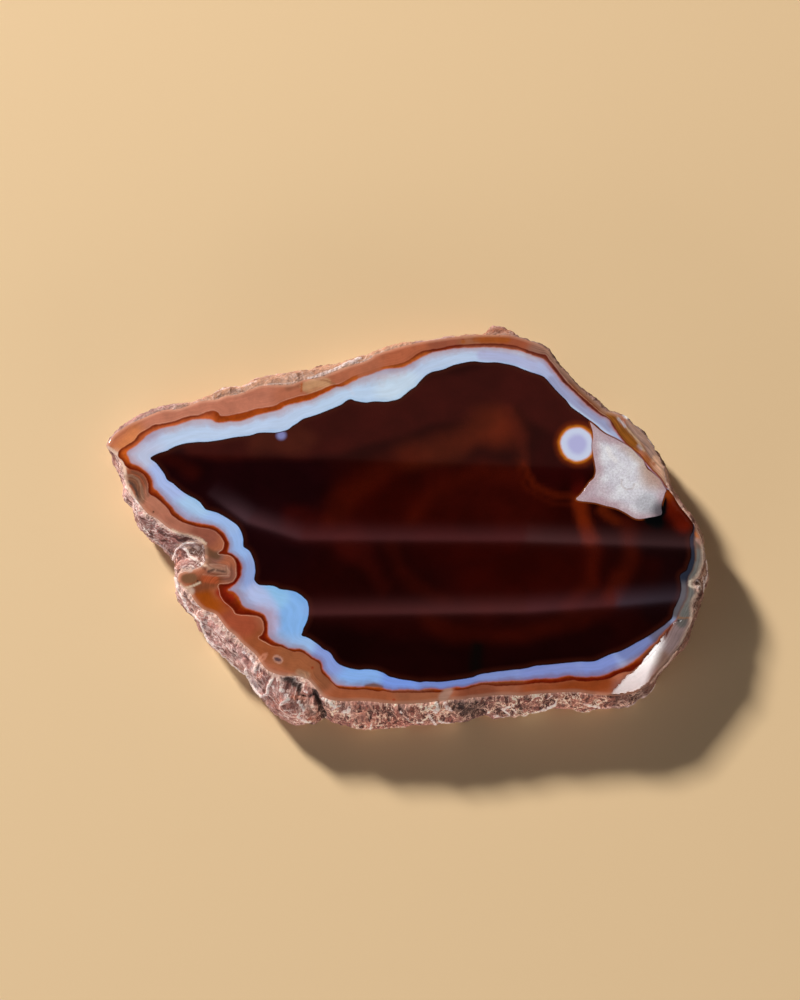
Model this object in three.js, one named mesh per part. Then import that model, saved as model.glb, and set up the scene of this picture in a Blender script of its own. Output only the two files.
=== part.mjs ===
// Agate slice: one natural stone, sawn flat below, polished flat on top, bark left round the rim.
// Millimetres, +Z up. The base lies on z = 0 and the box of the slice is centred on the origin.
import * as THREE from 'three';

// Heights of the slice
const THICKNESS = 12;
const BELLY_HEIGHT = 5;

// Where the box centre of the drawn stations lies; taken off so that the box is centred
const DRAWN_CENTRE = [0.3, -1.0];

// Spacing of the columns round the rim, and the steps down its profile in degrees
const COLUMNS = 288;
const STEPS_PER_STATION = 8;
const UPPER_STEPS = [20, 38, 56, 73, 90];
const LOWER_STEPS = [35, 65, 90];

// The undercut of the bark between its widest line and the base
const UNDERCUT = 1.3;

// Rim of the polished face: a narrow rounding all round, and a wide ground bevel at the lower right
const EDGE_DROP = 0.2;
const EDGE_INSET = 0.9;
const BEVEL_DROP = 0.95;
const BEVEL_INSET = 3.6;
const BEVEL_START = [68.5, -32.0];
const BEVEL_END = [52.5, -47.0];
const BEVEL_FADE = 5;

// Relief of the bark: broad swellings, and rounded knobs with creases between them
const SWELL_WAVELENGTH = 12;
const SWELL_HEIGHT = 0.5;
const KNOB_WAVELENGTH = 5.5;
const KNOB_HEIGHT = 0.8;
const KNOB_LEVEL = 0.55;

// Pits and lumps seen on the bark: place, radius and depth (a negative depth stands proud)
const DENTS = [
  { at: [-52.0, -11.2, 11.0], radius: 3.4, depth: 2.2 },
  { at: [-54.2, -13.4, 10.5], radius: 1.9, depth: -1.1 },
  { at: [-27.8, -44.6, 11.0], radius: 2.4, depth: 1.7 },
  { at: [-24.0, -45.6, 10.6], radius: 2.0, depth: 0.9 },
  { at: [-27.4, -50.2, 6.5], radius: 4.6, depth: -0.9 },
  { at: [-21.4, -47.6, 10.4], radius: 1.9, depth: 1.4 },
  { at: [-20.9, -50.0, 7.5], radius: 1.8, depth: 1.5 },
  { at: [-20.4, -51.2, 3.5], radius: 1.9, depth: 1.3 },
  { at: [-42.2, 34.6, 9.5], radius: 2.0, depth: 1.0 },
  { at: [24.0, 51.0, 8.0], radius: 2.6, depth: -0.6 },
  { at: [15.2, -51.0, 4.0], radius: 2.4, depth: -0.7 },
  { at: [17.6, -49.8, 7.0], radius: 2.0, depth: 0.9 },
  { at: [29.0, -50.0, 5.0], radius: 1.7, depth: 0.8 },
  { at: [73.0, -18.4, 9.5], radius: 2.2, depth: 1.1 },
  { at: [72.9, -21.8, 9.0], radius: 1.8, depth: -0.6 },
  { at: [62.6, 19.0, 9.0], radius: 2.0, depth: 0.7 },
  { at: [-63.6, -4.2, 7.0], radius: 3.0, depth: -0.8 },
  { at: [-48.0, -31.5, 7.0], radius: 3.2, depth: -0.8 },
  { at: [-36.8, -43.2, 7.0], radius: 2.4, depth: 0.9 },
];

// Stations round the rim, clockwise from the left tip: face edge x, y and widest bark x, y
const STATIONS = [
  [-75.2, 16.9, -75.0, 17.6],
  [-74.6, 18.4, -75.1, 19.6],
  [-73.1, 20.6, -73.8, 22.2],
  [-70.0, 23.0, -70.6, 26.0],
  [-66.2, 24.9, -66.8, 27.7],
  [-61.6, 27.0, -62.2, 28.9],
  [-57.7, 27.3, -58.3, 30.0],
  [-54.4, 28.5, -54.8, 30.6],
  [-51.4, 29.6, -51.9, 31.9],
  [-48.0, 29.9, -48.9, 34.0],
  [-45.4, 30.9, -46.4, 35.5],
  [-42.3, 31.4, -43.4, 35.7],
  [-39.2, 32.8, -40.2, 36.9],
  [-36.0, 33.8, -37.2, 37.7],
  [-31.4, 33.9, -32.8, 38.6],
  [-28.8, 34.1, -30.2, 39.2],
  [-25.6, 35.4, -26.8, 39.8],
  [-21.9, 35.9, -23.2, 40.7],
  [-18.2, 37.5, -19.2, 41.7],
  [-14.1, 39.2, -15.0, 42.7],
  [-9.6, 40.8, -10.4, 43.9],
  [-7.3, 42.4, -8.0, 44.6],
  [-2.3, 44.2, -2.8, 46.5],
  [2.4, 45.5, 2.1, 47.5],
  [6.9, 46.4, 6.7, 48.0],
  [12.0, 47.2, 11.9, 48.8],
  [17.5, 47.8, 17.5, 49.3],
  [20.4, 48.0, 20.5, 49.9],
  [22.2, 48.0, 22.3, 51.9],
  [24.0, 48.0, 24.1, 52.3],
  [25.8, 47.9, 26.2, 51.1],
  [28.0, 47.6, 28.4, 49.5],
  [32.1, 46.2, 32.8, 47.8],
  [35.0, 45.0, 35.9, 46.9],
  [36.9, 43.3, 38.3, 44.9],
  [38.0, 41.5, 39.4, 42.8],
  [39.2, 39.5, 40.6, 40.6],
  [41.2, 37.3, 42.4, 38.5],
  [43.0, 35.0, 44.2, 36.2],
  [45.0, 32.6, 46.3, 33.7],
  [47.4, 30.3, 48.6, 31.6],
  [49.4, 28.3, 50.6, 29.6],
  [51.2, 26.7, 52.2, 28.2],
  [53.0, 26.1, 53.8, 27.7],
  [55.6, 25.2, 56.8, 26.7],
  [57.0, 23.8, 58.3, 25.0],
  [58.8, 22.1, 60.1, 23.5],
  [60.2, 20.6, 61.6, 21.8],
  [61.6, 18.5, 63.0, 19.4],
  [62.8, 16.4, 64.2, 17.4],
  [64.0, 14.0, 65.3, 15.2],
  [64.9, 11.6, 66.0, 13.0],
  [65.2, 9.6, 66.1, 10.8],
  [65.4, 7.4, 66.4, 8.6],
  [66.2, 5.4, 67.4, 6.8],
  [67.4, 3.6, 68.6, 5.0],
  [68.4, 1.6, 69.6, 3.2],
  [69.8, -0.4, 71.0, 1.2],
  [71.2, -2.4, 72.3, -0.6],
  [72.5, -4.6, 73.5, -2.8],
  [73.3, -6.8, 74.1, -4.8],
  [73.8, -9.2, 74.5, -7.2],
  [73.9, -11.6, 74.9, -9.4],
  [73.8, -13.5, 75.3, -11.4],
  [73.1, -15.6, 75.5, -13.6],
  [72.2, -17.6, 75.3, -15.8],
  [70.9, -18.8, 75.0, -17.6],
  [71.6, -20.4, 74.7, -19.2],
  [72.0, -21.9, 74.4, -20.4],
  [71.0, -23.4, 74.1, -22.0],
  [70.5, -25.3, 73.7, -23.6],
  [70.6, -27.2, 72.8, -25.9],
  [70.2, -29.0, 71.4, -28.3],
  [69.0, -31.4, 70.1, -30.8],
  [68.0, -33.5, 69.0, -33.0],
  [66.9, -35.3, 67.8, -35.0],
  [65.6, -36.8, 66.4, -36.6],
  [63.9, -38.9, 64.8, -38.6],
  [62.3, -40.8, 63.2, -40.6],
  [60.6, -42.8, 61.3, -42.8],
  [59.2, -44.6, 59.8, -44.8],
  [57.6, -45.9, 58.1, -46.2],
  [55.6, -46.8, 55.9, -47.6],
  [53.2, -47.3, 53.4, -48.4],
  [50.6, -47.6, 50.8, -48.8],
  [48.4, -47.6, 48.5, -48.9],
  [45.0, -47.3, 45.0, -49.2],
  [41.6, -46.8, 41.5, -49.0],
  [37.8, -46.9, 37.8, -48.4],
  [34.3, -47.1, 34.2, -49.1],
  [31.0, -47.3, 31.0, -50.0],
  [28.0, -47.7, 27.9, -50.4],
  [24.5, -47.5, 24.4, -50.4],
  [21.0, -47.7, 20.9, -50.4],
  [18.0, -48.1, 17.8, -50.4],
  [16.2, -48.2, 16.1, -51.0],
  [14.2, -48.6, 14.0, -52.1],
  [11.0, -48.7, 10.8, -52.3],
  [7.3, -49.2, 7.1, -52.6],
  [3.5, -49.6, 3.2, -52.7],
  [-0.4, -49.8, -0.6, -53.2],
  [-4.2, -49.6, -4.3, -53.4],
  [-7.8, -49.2, -8.0, -53.7],
  [-11.5, -49.0, -11.8, -53.4],
  [-15.4, -49.1, -15.6, -52.4],
  [-18.4, -48.6, -18.6, -51.6],
  [-20.2, -47.5, -20.6, -51.5],
  [-21.6, -45.9, -22.4, -52.2],
  [-23.4, -43.8, -25.2, -52.5],
  [-26.0, -42.8, -28.0, -51.9],
  [-29.4, -42.7, -30.6, -50.6],
  [-32.0, -42.0, -33.0, -48.4],
  [-33.8, -41.0, -35.2, -46.2],
  [-35.2, -39.2, -37.2, -44.0],
  [-36.4, -37.4, -38.4, -42.1],
  [-38.2, -35.8, -40.6, -39.6],
  [-40.0, -34.2, -42.8, -37.4],
  [-41.6, -32.4, -44.8, -35.2],
  [-43.4, -31.0, -46.6, -33.0],
  [-44.9, -29.0, -48.6, -30.9],
  [-46.6, -27.0, -50.4, -28.8],
  [-49.2, -26.0, -52.2, -26.7],
  [-50.6, -24.9, -53.4, -24.6],
  [-52.0, -23.2, -54.6, -22.4],
  [-53.2, -21.2, -56.0, -20.4],
  [-55.4, -19.4, -56.9, -18.2],
  [-56.0, -17.6, -57.2, -15.6],
  [-55.0, -16.2, -57.4, -13.9],
  [-52.4, -15.6, -57.6, -12.9],
  [-50.2, -14.8, -57.9, -11.9],
  [-49.4, -13.2, -58.2, -11.0],
  [-49.6, -11.2, -58.6, -10.0],
  [-49.9, -9.2, -59.2, -9.0],
  [-51.4, -7.6, -60.0, -8.0],
  [-53.8, -6.6, -61.0, -6.9],
  [-56.5, -6.0, -62.4, -5.7],
  [-59.1, -4.5, -64.4, -4.4],
  [-61.6, -2.4, -66.0, -2.8],
  [-64.1, -0.9, -67.0, -1.0],
  [-65.6, 0.8, -68.2, 1.1],
  [-67.0, 2.7, -69.1, 3.3],
  [-68.7, 4.5, -70.3, 6.2],
  [-69.7, 6.7, -71.2, 9.0],
  [-70.5, 9.8, -72.7, 11.9],
  [-71.4, 12.9, -73.6, 14.4],
  [-73.2, 15.4, -74.5, 16.2],
];

const radians = (degrees) => (degrees * Math.PI) / 180;
const mix = (a, b, t) => a + (b - a) * t;
const smooth = (t) => t * t * (3 - 2 * t);
const clamp = (v, low, high) => Math.min(high, Math.max(low, v));

// Relief: smoothed random values on a cubic grid, the same on every run
function gridValue(ix, iy, iz) {
  let h = Math.imul(ix, 374761393) ^ Math.imul(iy, 668265263) ^ Math.imul(iz, 1274126177);
  h = Math.imul(h ^ (h >>> 13), 1103515245);
  h ^= h >>> 16;
  return (h >>> 0) / 2147483647.5 - 1;
}

function reliefAt(x, y, z, wavelength) {
  const [gx, gy, gz] = [x / wavelength, y / wavelength, z / wavelength];
  const [ix, iy, iz] = [Math.floor(gx), Math.floor(gy), Math.floor(gz)];
  const [tx, ty, tz] = [smooth(gx - ix), smooth(gy - iy), smooth(gz - iz)];
  const edge = (dy, dz) => mix(gridValue(ix, iy + dy, iz + dz), gridValue(ix + 1, iy + dy, iz + dz), tx);
  return mix(mix(edge(0, 0), edge(1, 0), ty), mix(edge(0, 1), edge(1, 1), ty), tz);
}

// Closed smooth curve through the stations, all four numbers of a station carried together
function stationAt(position) {
  const count = STATIONS.length;
  const index = Math.floor(position);
  const t = position - index;
  const [p, q, r, s] = [-1, 0, 1, 2].map((k) => STATIONS[(index + k + count) % count]);
  return q.map((value, k) => 0.5 * (2 * value + (r[k] - p[k]) * t
    + (2 * p[k] - 5 * value + 4 * r[k] - s[k]) * t * t
    + (3 * value - p[k] - 3 * r[k] + s[k]) * t * t * t));
}

// Columns at even distances along the line midway between face edge and widest bark
function evenColumns() {
  const dense = [];
  for (let k = 0; k < STATIONS.length * STEPS_PER_STATION; k += 1) dense.push(stationAt(k / STEPS_PER_STATION));
  const middle = ([fx, fy, bx, by]) => [(fx + bx) / 2, (fy + by) / 2];
  const lengths = [0];
  dense.forEach((station, k) => {
    const [ax, ay] = middle(station);
    const [bx, by] = middle(dense[(k + 1) % dense.length]);
    lengths.push(lengths[k] + Math.hypot(bx - ax, by - ay));
  });
  const columns = [];
  let k = 0;
  for (let c = 0; c < COLUMNS; c += 1) {
    const wanted = (lengths[dense.length] * c) / COLUMNS;
    while (lengths[k + 1] < wanted) k += 1;
    const t = (wanted - lengths[k]) / (lengths[k + 1] - lengths[k]);
    const next = dense[(k + 1) % dense.length];
    columns.push(dense[k].map((value, n) => mix(value, next[n], t)));
  }
  return columns;
}

// Unit vector pointing out of the slice at a column, from its neighbours on the given pair of numbers
function outward(columns, c, offset) {
  const reach = 2;
  const before = columns[(c - reach + COLUMNS) % COLUMNS];
  const after = columns[(c + reach) % COLUMNS];
  const dx = after[offset] - before[offset];
  const dy = after[offset + 1] - before[offset + 1];
  const length = Math.hypot(dx, dy);
  return [-dy / length, dx / length];
}

// How fully the ground bevel is present at a point of the face edge, 0 to 1
function bevelShare(x, y) {
  const [sx, sy] = BEVEL_START;
  const [ex, ey] = BEVEL_END;
  const run = Math.hypot(ex - sx, ey - sy);
  const along = ((x - sx) * (ex - sx) + (y - sy) * (ey - sy)) / run;
  const side = Math.abs((x - sx) * (ey - sy) - (y - sy) * (ex - sx)) / run;
  const beyond = Math.hypot(Math.max(0, -along, along - run), Math.max(0, side - BEVEL_FADE));
  return smooth(clamp(1 - beyond / BEVEL_FADE, 0, 1));
}

// A rim vertex moved along its own outward direction by the relief, the dents and the lumps
function relieved(point, direction, weight) {
  const [x, y, z] = point;
  const knob = 2 * Math.abs(reliefAt(x, y, z, KNOB_WAVELENGTH)) - KNOB_LEVEL;
  let move = SWELL_HEIGHT * reliefAt(x, y, z, SWELL_WAVELENGTH) + KNOB_HEIGHT * knob;
  for (const { at, radius, depth } of DENTS) {
    const distance = Math.hypot(x - at[0], y - at[1], z - at[2]);
    if (distance < radius * 1.6) move -= depth * smooth(1 - distance / (radius * 1.6));
  }
  return point.map((value, k) => value + direction[k] * move * weight);
}

// One closed ring of vertices per level, from the shoulder of the face down to the base
function buildRings() {
  const columns = evenColumns();
  const rings = [[], []];
  UPPER_STEPS.concat(LOWER_STEPS).forEach(() => rings.push([]));
  columns.forEach(([fx, fy, bx, by], c) => {
    const share = bevelShare(fx, fy);
    const faceOut = outward(columns, c, 0);
    const barkOut = outward(columns, c, 2);
    const inset = EDGE_INSET + BEVEL_INSET * share;
    const top = THICKNESS - EDGE_DROP - BEVEL_DROP * share;
    rings[0].push([fx - faceOut[0] * inset, fy - faceOut[1] * inset, THICKNESS]);
    rings[1].push([fx, fy, top]);
    UPPER_STEPS.forEach((step, k) => {
      const [s, w] = [Math.sin(radians(step)), Math.cos(radians(step))];
      const point = [mix(fx, bx, s), mix(fy, by, s), mix(top, BELLY_HEIGHT, 1 - w)];
      rings[2 + k].push(relieved(point, [barkOut[0] * s, barkOut[1] * s, w], s));
    });
    LOWER_STEPS.forEach((step, k) => {
      const [s, w] = [Math.sin(radians(step)), Math.cos(radians(step))];
      const inward = UNDERCUT * (1 - w);
      const point = [bx - barkOut[0] * inward, by - barkOut[1] * inward, BELLY_HEIGHT * (1 - s)];
      rings[2 + UPPER_STEPS.length + k].push(relieved(point, [barkOut[0], barkOut[1], 0], 0.85));
    });
  });
  return rings;
}

// The rings joined into one closed skin with a flat polished top and a flat sawn base
function buildSkin(rings) {
  const positions = rings.flat().flatMap(([x, y, z]) => [x - DRAWN_CENTRE[0], y - DRAWN_CENTRE[1], z]);
  const faces = [];
  for (let level = 0; level + 1 < rings.length; level += 1) {
    for (let c = 0; c < COLUMNS; c += 1) {
      const next = (c + 1) % COLUMNS;
      const [a, b] = [level * COLUMNS + c, level * COLUMNS + next];
      const [d, e] = [a + COLUMNS, b + COLUMNS];
      faces.push([a, b, e], [a, e, d]);
    }
  }
  const flat = (ring) => ring.map(([x, y]) => new THREE.Vector2(x, y));
  const base = (rings.length - 1) * COLUMNS;
  THREE.ShapeUtils.triangulateShape(flat(rings[0]), []).forEach(([a, b, c]) => faces.push([a, b, c]));
  THREE.ShapeUtils.triangulateShape(flat(rings[rings.length - 1]), [])
    .forEach(([a, b, c]) => faces.push([base + a, base + c, base + b]));
  return { positions, faces };
}

function makeGeometry() {
  const { positions, faces } = buildSkin(buildRings());
  const geometry = new THREE.BufferGeometry();
  geometry.setAttribute('position', new THREE.Float32BufferAttribute(positions, 3));
  geometry.setIndex(faces.flat());
  geometry.computeVertexNormals();
  return geometry;
}

const stone = new THREE.MeshStandardMaterial({ color: 0x5a3026, roughness: 0.4, metalness: 0 });
const slice = new THREE.Mesh(makeGeometry(), stone);
slice.name = 'agate_slice';

const group = new THREE.Group();
group.name = 'agate_slice_part';
group.add(slice);

export default group;
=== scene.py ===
# %% [markdown]
# # A slice of banded agate
#
# This lesson dresses one packed stone. The stone is a slice about 151 mm long, 107 mm across and 12 mm
# thick: a dark polished middle, a pale blue-white band, a thin rust line, a salmon outer layer and a rough
# bark round the rim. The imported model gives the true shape. Everything here is built on that shape, in
# metres and in the same place, so nothing has to be fitted by eye.

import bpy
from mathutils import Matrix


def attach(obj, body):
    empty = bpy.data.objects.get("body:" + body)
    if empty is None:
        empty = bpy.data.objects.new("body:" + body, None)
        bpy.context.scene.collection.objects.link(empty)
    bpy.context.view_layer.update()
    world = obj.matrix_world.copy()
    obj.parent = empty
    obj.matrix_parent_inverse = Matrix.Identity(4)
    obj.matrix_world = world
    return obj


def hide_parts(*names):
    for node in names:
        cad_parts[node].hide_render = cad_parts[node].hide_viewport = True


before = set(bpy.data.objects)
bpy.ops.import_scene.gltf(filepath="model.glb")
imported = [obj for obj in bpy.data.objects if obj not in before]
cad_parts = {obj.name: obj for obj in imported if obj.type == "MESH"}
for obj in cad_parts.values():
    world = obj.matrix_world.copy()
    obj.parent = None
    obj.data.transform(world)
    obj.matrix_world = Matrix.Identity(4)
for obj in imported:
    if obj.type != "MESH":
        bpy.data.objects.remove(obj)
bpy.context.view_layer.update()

# %% Tools and units
import math
from itertools import pairwise

import bpy
import numpy as np
from mathutils import Vector, noise
from mathutils.geometry import delaunay_2d_cdt
from mathutils.kdtree import KDTree

MM = 0.001
MICRON = 0.001
DRAWN_CENTRE = np.array([0.3, -1.0])
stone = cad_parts["agate_slice"]

# %% [markdown]
# ## The shape of the rim
#
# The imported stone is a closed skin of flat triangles: a flat face, then ten rings of points, from the
# shoulder of the face down over the bark to the sawn base. It could be smoothed with a subdivision modifier,
# but that would pull the flat face and the rim about as well. Walking from ring to ring instead gives a tidy
# grid, rows down and columns round, which can be made finer with one smooth curve in each direction.

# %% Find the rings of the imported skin
FLAT = 0.002


def points_of(mesh):
    """The points of a mesh, in millimetres."""
    places = np.empty(len(mesh.vertices) * 3)
    mesh.vertices.foreach_get("co", places)
    return places.reshape(-1, 3) / MM


def corners_of(mesh):
    """The number of the point at every corner of every face."""
    numbers = np.empty(len(mesh.loops), int)
    mesh.loops.foreach_get("vertex_index", numbers)
    return numbers


def merged(mesh):
    """The points of a mesh of loose triangles, and its triangles with shared corners."""
    steps = np.round(points_of(mesh) / MICRON).astype(int)
    points, shared = np.unique(steps, axis=0, return_inverse=True)
    return points * MICRON, shared.reshape(-1)[corners_of(mesh)].reshape(-1, 3)


def walk_rings(points, triangles):
    """Rings of points from the shoulder of the face down to the base, each column under the last."""
    third = {}
    cap = set()
    top = points[:, 2].max() - FLAT
    for a, b, c in triangles.tolist():
        third.update({(a, b): c, (b, c): a, (c, a): b})
        if points[[a, b, c], 2].min() > top:
            cap.update([(a, b), (b, c), (c, a)])
    after = {b: a for a, b in cap if (b, a) not in cap}
    ring = [min(after, key=lambda k: points[k, 0])]
    while after[ring[-1]] != ring[0]:
        ring.append(after[ring[-1]])
    rings = [ring]
    while points[ring, 2].max() > FLAT:
        ring = [third[ring[k - 1], ring[k]] for k in range(len(ring))]
        rings.append(ring)
    return points[np.array(rings)]


rings = walk_rings(*merged(stone.data))
print("rings, columns:", rings.shape[:2])

# %% Make the rings finer with smooth curves
ROUND_STEPS = 4
ROW_SPACING = 0.42


def curve(p, q, r, s, t):
    """The smooth curve through four points in a row, at t between the middle two."""
    return 0.5 * (2 * q + (r - p) * t + (2 * p - 5 * q + 4 * r - s) * t**2 + (3 * q - p - 3 * r + s) * t**3)


def refine_round(rows, steps):
    """More columns: every gap round a closed ring is cut in steps."""
    p, q, r, s = (np.roll(rows, shift, axis=1) for shift in (1, 0, -1, -2))
    parts = [curve(p, q, r, s, t) for t in np.arange(steps) / steps]
    return np.stack(parts, axis=2).reshape(len(rows), -1, rows.shape[2])


def refine_down(rows, spacing):
    """More rows: every gap down the rim is cut to about the spacing."""
    last = len(rows) - 1
    finer = []
    for k in range(last):
        p, q, r, s = (rows[min(max(k + step, 0), last)] for step in (-1, 0, 1, 2))
        steps = max(1, round(np.linalg.norm(r - q, axis=1).mean() / spacing))
        finer += [curve(p, q, r, s, t) for t in np.arange(steps) / steps]
    return np.stack([*finer, rows[last]])


shoulder = refine_round(rings[:1], ROUND_STEPS)[0]
rim = refine_down(refine_round(rings[1:], ROUND_STEPS), ROW_SPACING)
ROWS, COLUMNS = rim.shape[:2]
print("rim grid:", ROWS, "rows of", COLUMNS)

# %% [markdown]
# ## Numbers and nodes
#
# Patterns and reliefs are sums of noises, and written as nodes they are hard to read. The two small classes
# below let them be written as plain sums. Value stands for one output of a node, and + - * / on it add Math
# nodes. Sheet stands for a node tree, and its one method adds any other node.

# %% One class for a value and one for a sheet of nodes
class Value:
    """One output of a node: + - * / and ** on it add Math nodes."""

    def __init__(self, sheet, socket):
        self.sheet = sheet
        self.socket = socket

    def also(self, name):
        """Another output of the same node."""
        return Value(self.sheet, self.socket.node.outputs[name])

    def __add__(self, other):
        return self.sheet.maths("ADD", self, other)

    def __sub__(self, other):
        return self.sheet.maths("SUBTRACT", self, other)

    def __rsub__(self, other):
        return self.sheet.maths("SUBTRACT", other, self)

    def __mul__(self, other):
        return self.sheet.maths("MULTIPLY", self, other)

    def __truediv__(self, other):
        return self.sheet.maths("DIVIDE", self, other)

    def __rtruediv__(self, other):
        return self.sheet.maths("DIVIDE", other, self)

    def __pow__(self, other):
        return self.sheet.maths("POWER", self, other)

    __radd__ = __add__
    __rmul__ = __mul__


class Sheet:
    """A node tree: one method adds any node, and a few short ones name the nodes used most."""

    def __init__(self, tree):
        self.tree = tree

    def node(self, kind, settings=None, sockets=None, take=0):
        """Adds a node, sets it up, fills its sockets with numbers or links, and returns one output."""
        node = self.tree.nodes.new(kind)
        for name, setting in (settings or {}).items():
            setattr(node, name, setting)
        for name, value in (sockets or {}).items():
            if isinstance(value, Value):
                self.tree.links.new(value.socket, node.inputs[name])
            else:
                node.inputs[name].default_value = value
        return Value(self, node.outputs[take]) if len(node.outputs) else node

    def maths(self, operation, *numbers):
        """One operation on numbers or values."""
        return self.node("ShaderNodeMath", {"operation": operation}, dict(enumerate(numbers)))

    def vector(self, operation, *sides, take=0):
        """One operation on vectors."""
        settings = {"operation": operation}
        return self.node("ShaderNodeVectorMath", settings, dict(enumerate(sides)), take)

    def scaled(self, vector, factor):
        """A vector made longer or shorter by a factor."""
        return self.node("ShaderNodeVectorMath", {"operation": "SCALE"}, {0: vector, "Scale": factor})

    def rise(self, value, low, high, bottom=0.0, top=1.0):
        """A soft step from bottom to top while the value goes from low to high."""
        sockets = {"Value": value, "From Min": low, "From Max": high, "To Min": bottom, "To Max": top}
        return self.node("ShaderNodeMapRange", {"interpolation_type": "SMOOTHSTEP"}, sockets)

    def noise(self, place, size, detail=2.0, roughness=0.5, seed=0.0):
        """Cloudy values round one half, with clouds about size wide."""
        sockets = {"Vector": place, "W": seed, "Scale": 1 / size, "Detail": detail, "Roughness": roughness}
        return self.node("ShaderNodeTexNoise", {"noise_dimensions": "4D"}, sockets)


print("classes ready")

# %% [markdown]
# ## The relief of the bark
#
# The bark of an agate is where it grew against lava: knobs, hollows and a crust of small grains. Sculpting
# that by hand would never end, and a bump texture alone leaves the outline smooth. A Geometry Nodes tree
# moves the real points instead, so that the outline and the shadows are rough too. The share called grip
# keeps the relief small at the edge of the polished face, and at nothing on the base. The marks that make
# this bark its own, raised veins and sunk hollows, are drawn where the camera sees them. Each has a path, a
# reach, a softness and a lift, in millimetres.

# %% Draw the veins and the hollows of the bark
VIEW_SLANT = 0.364

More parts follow.
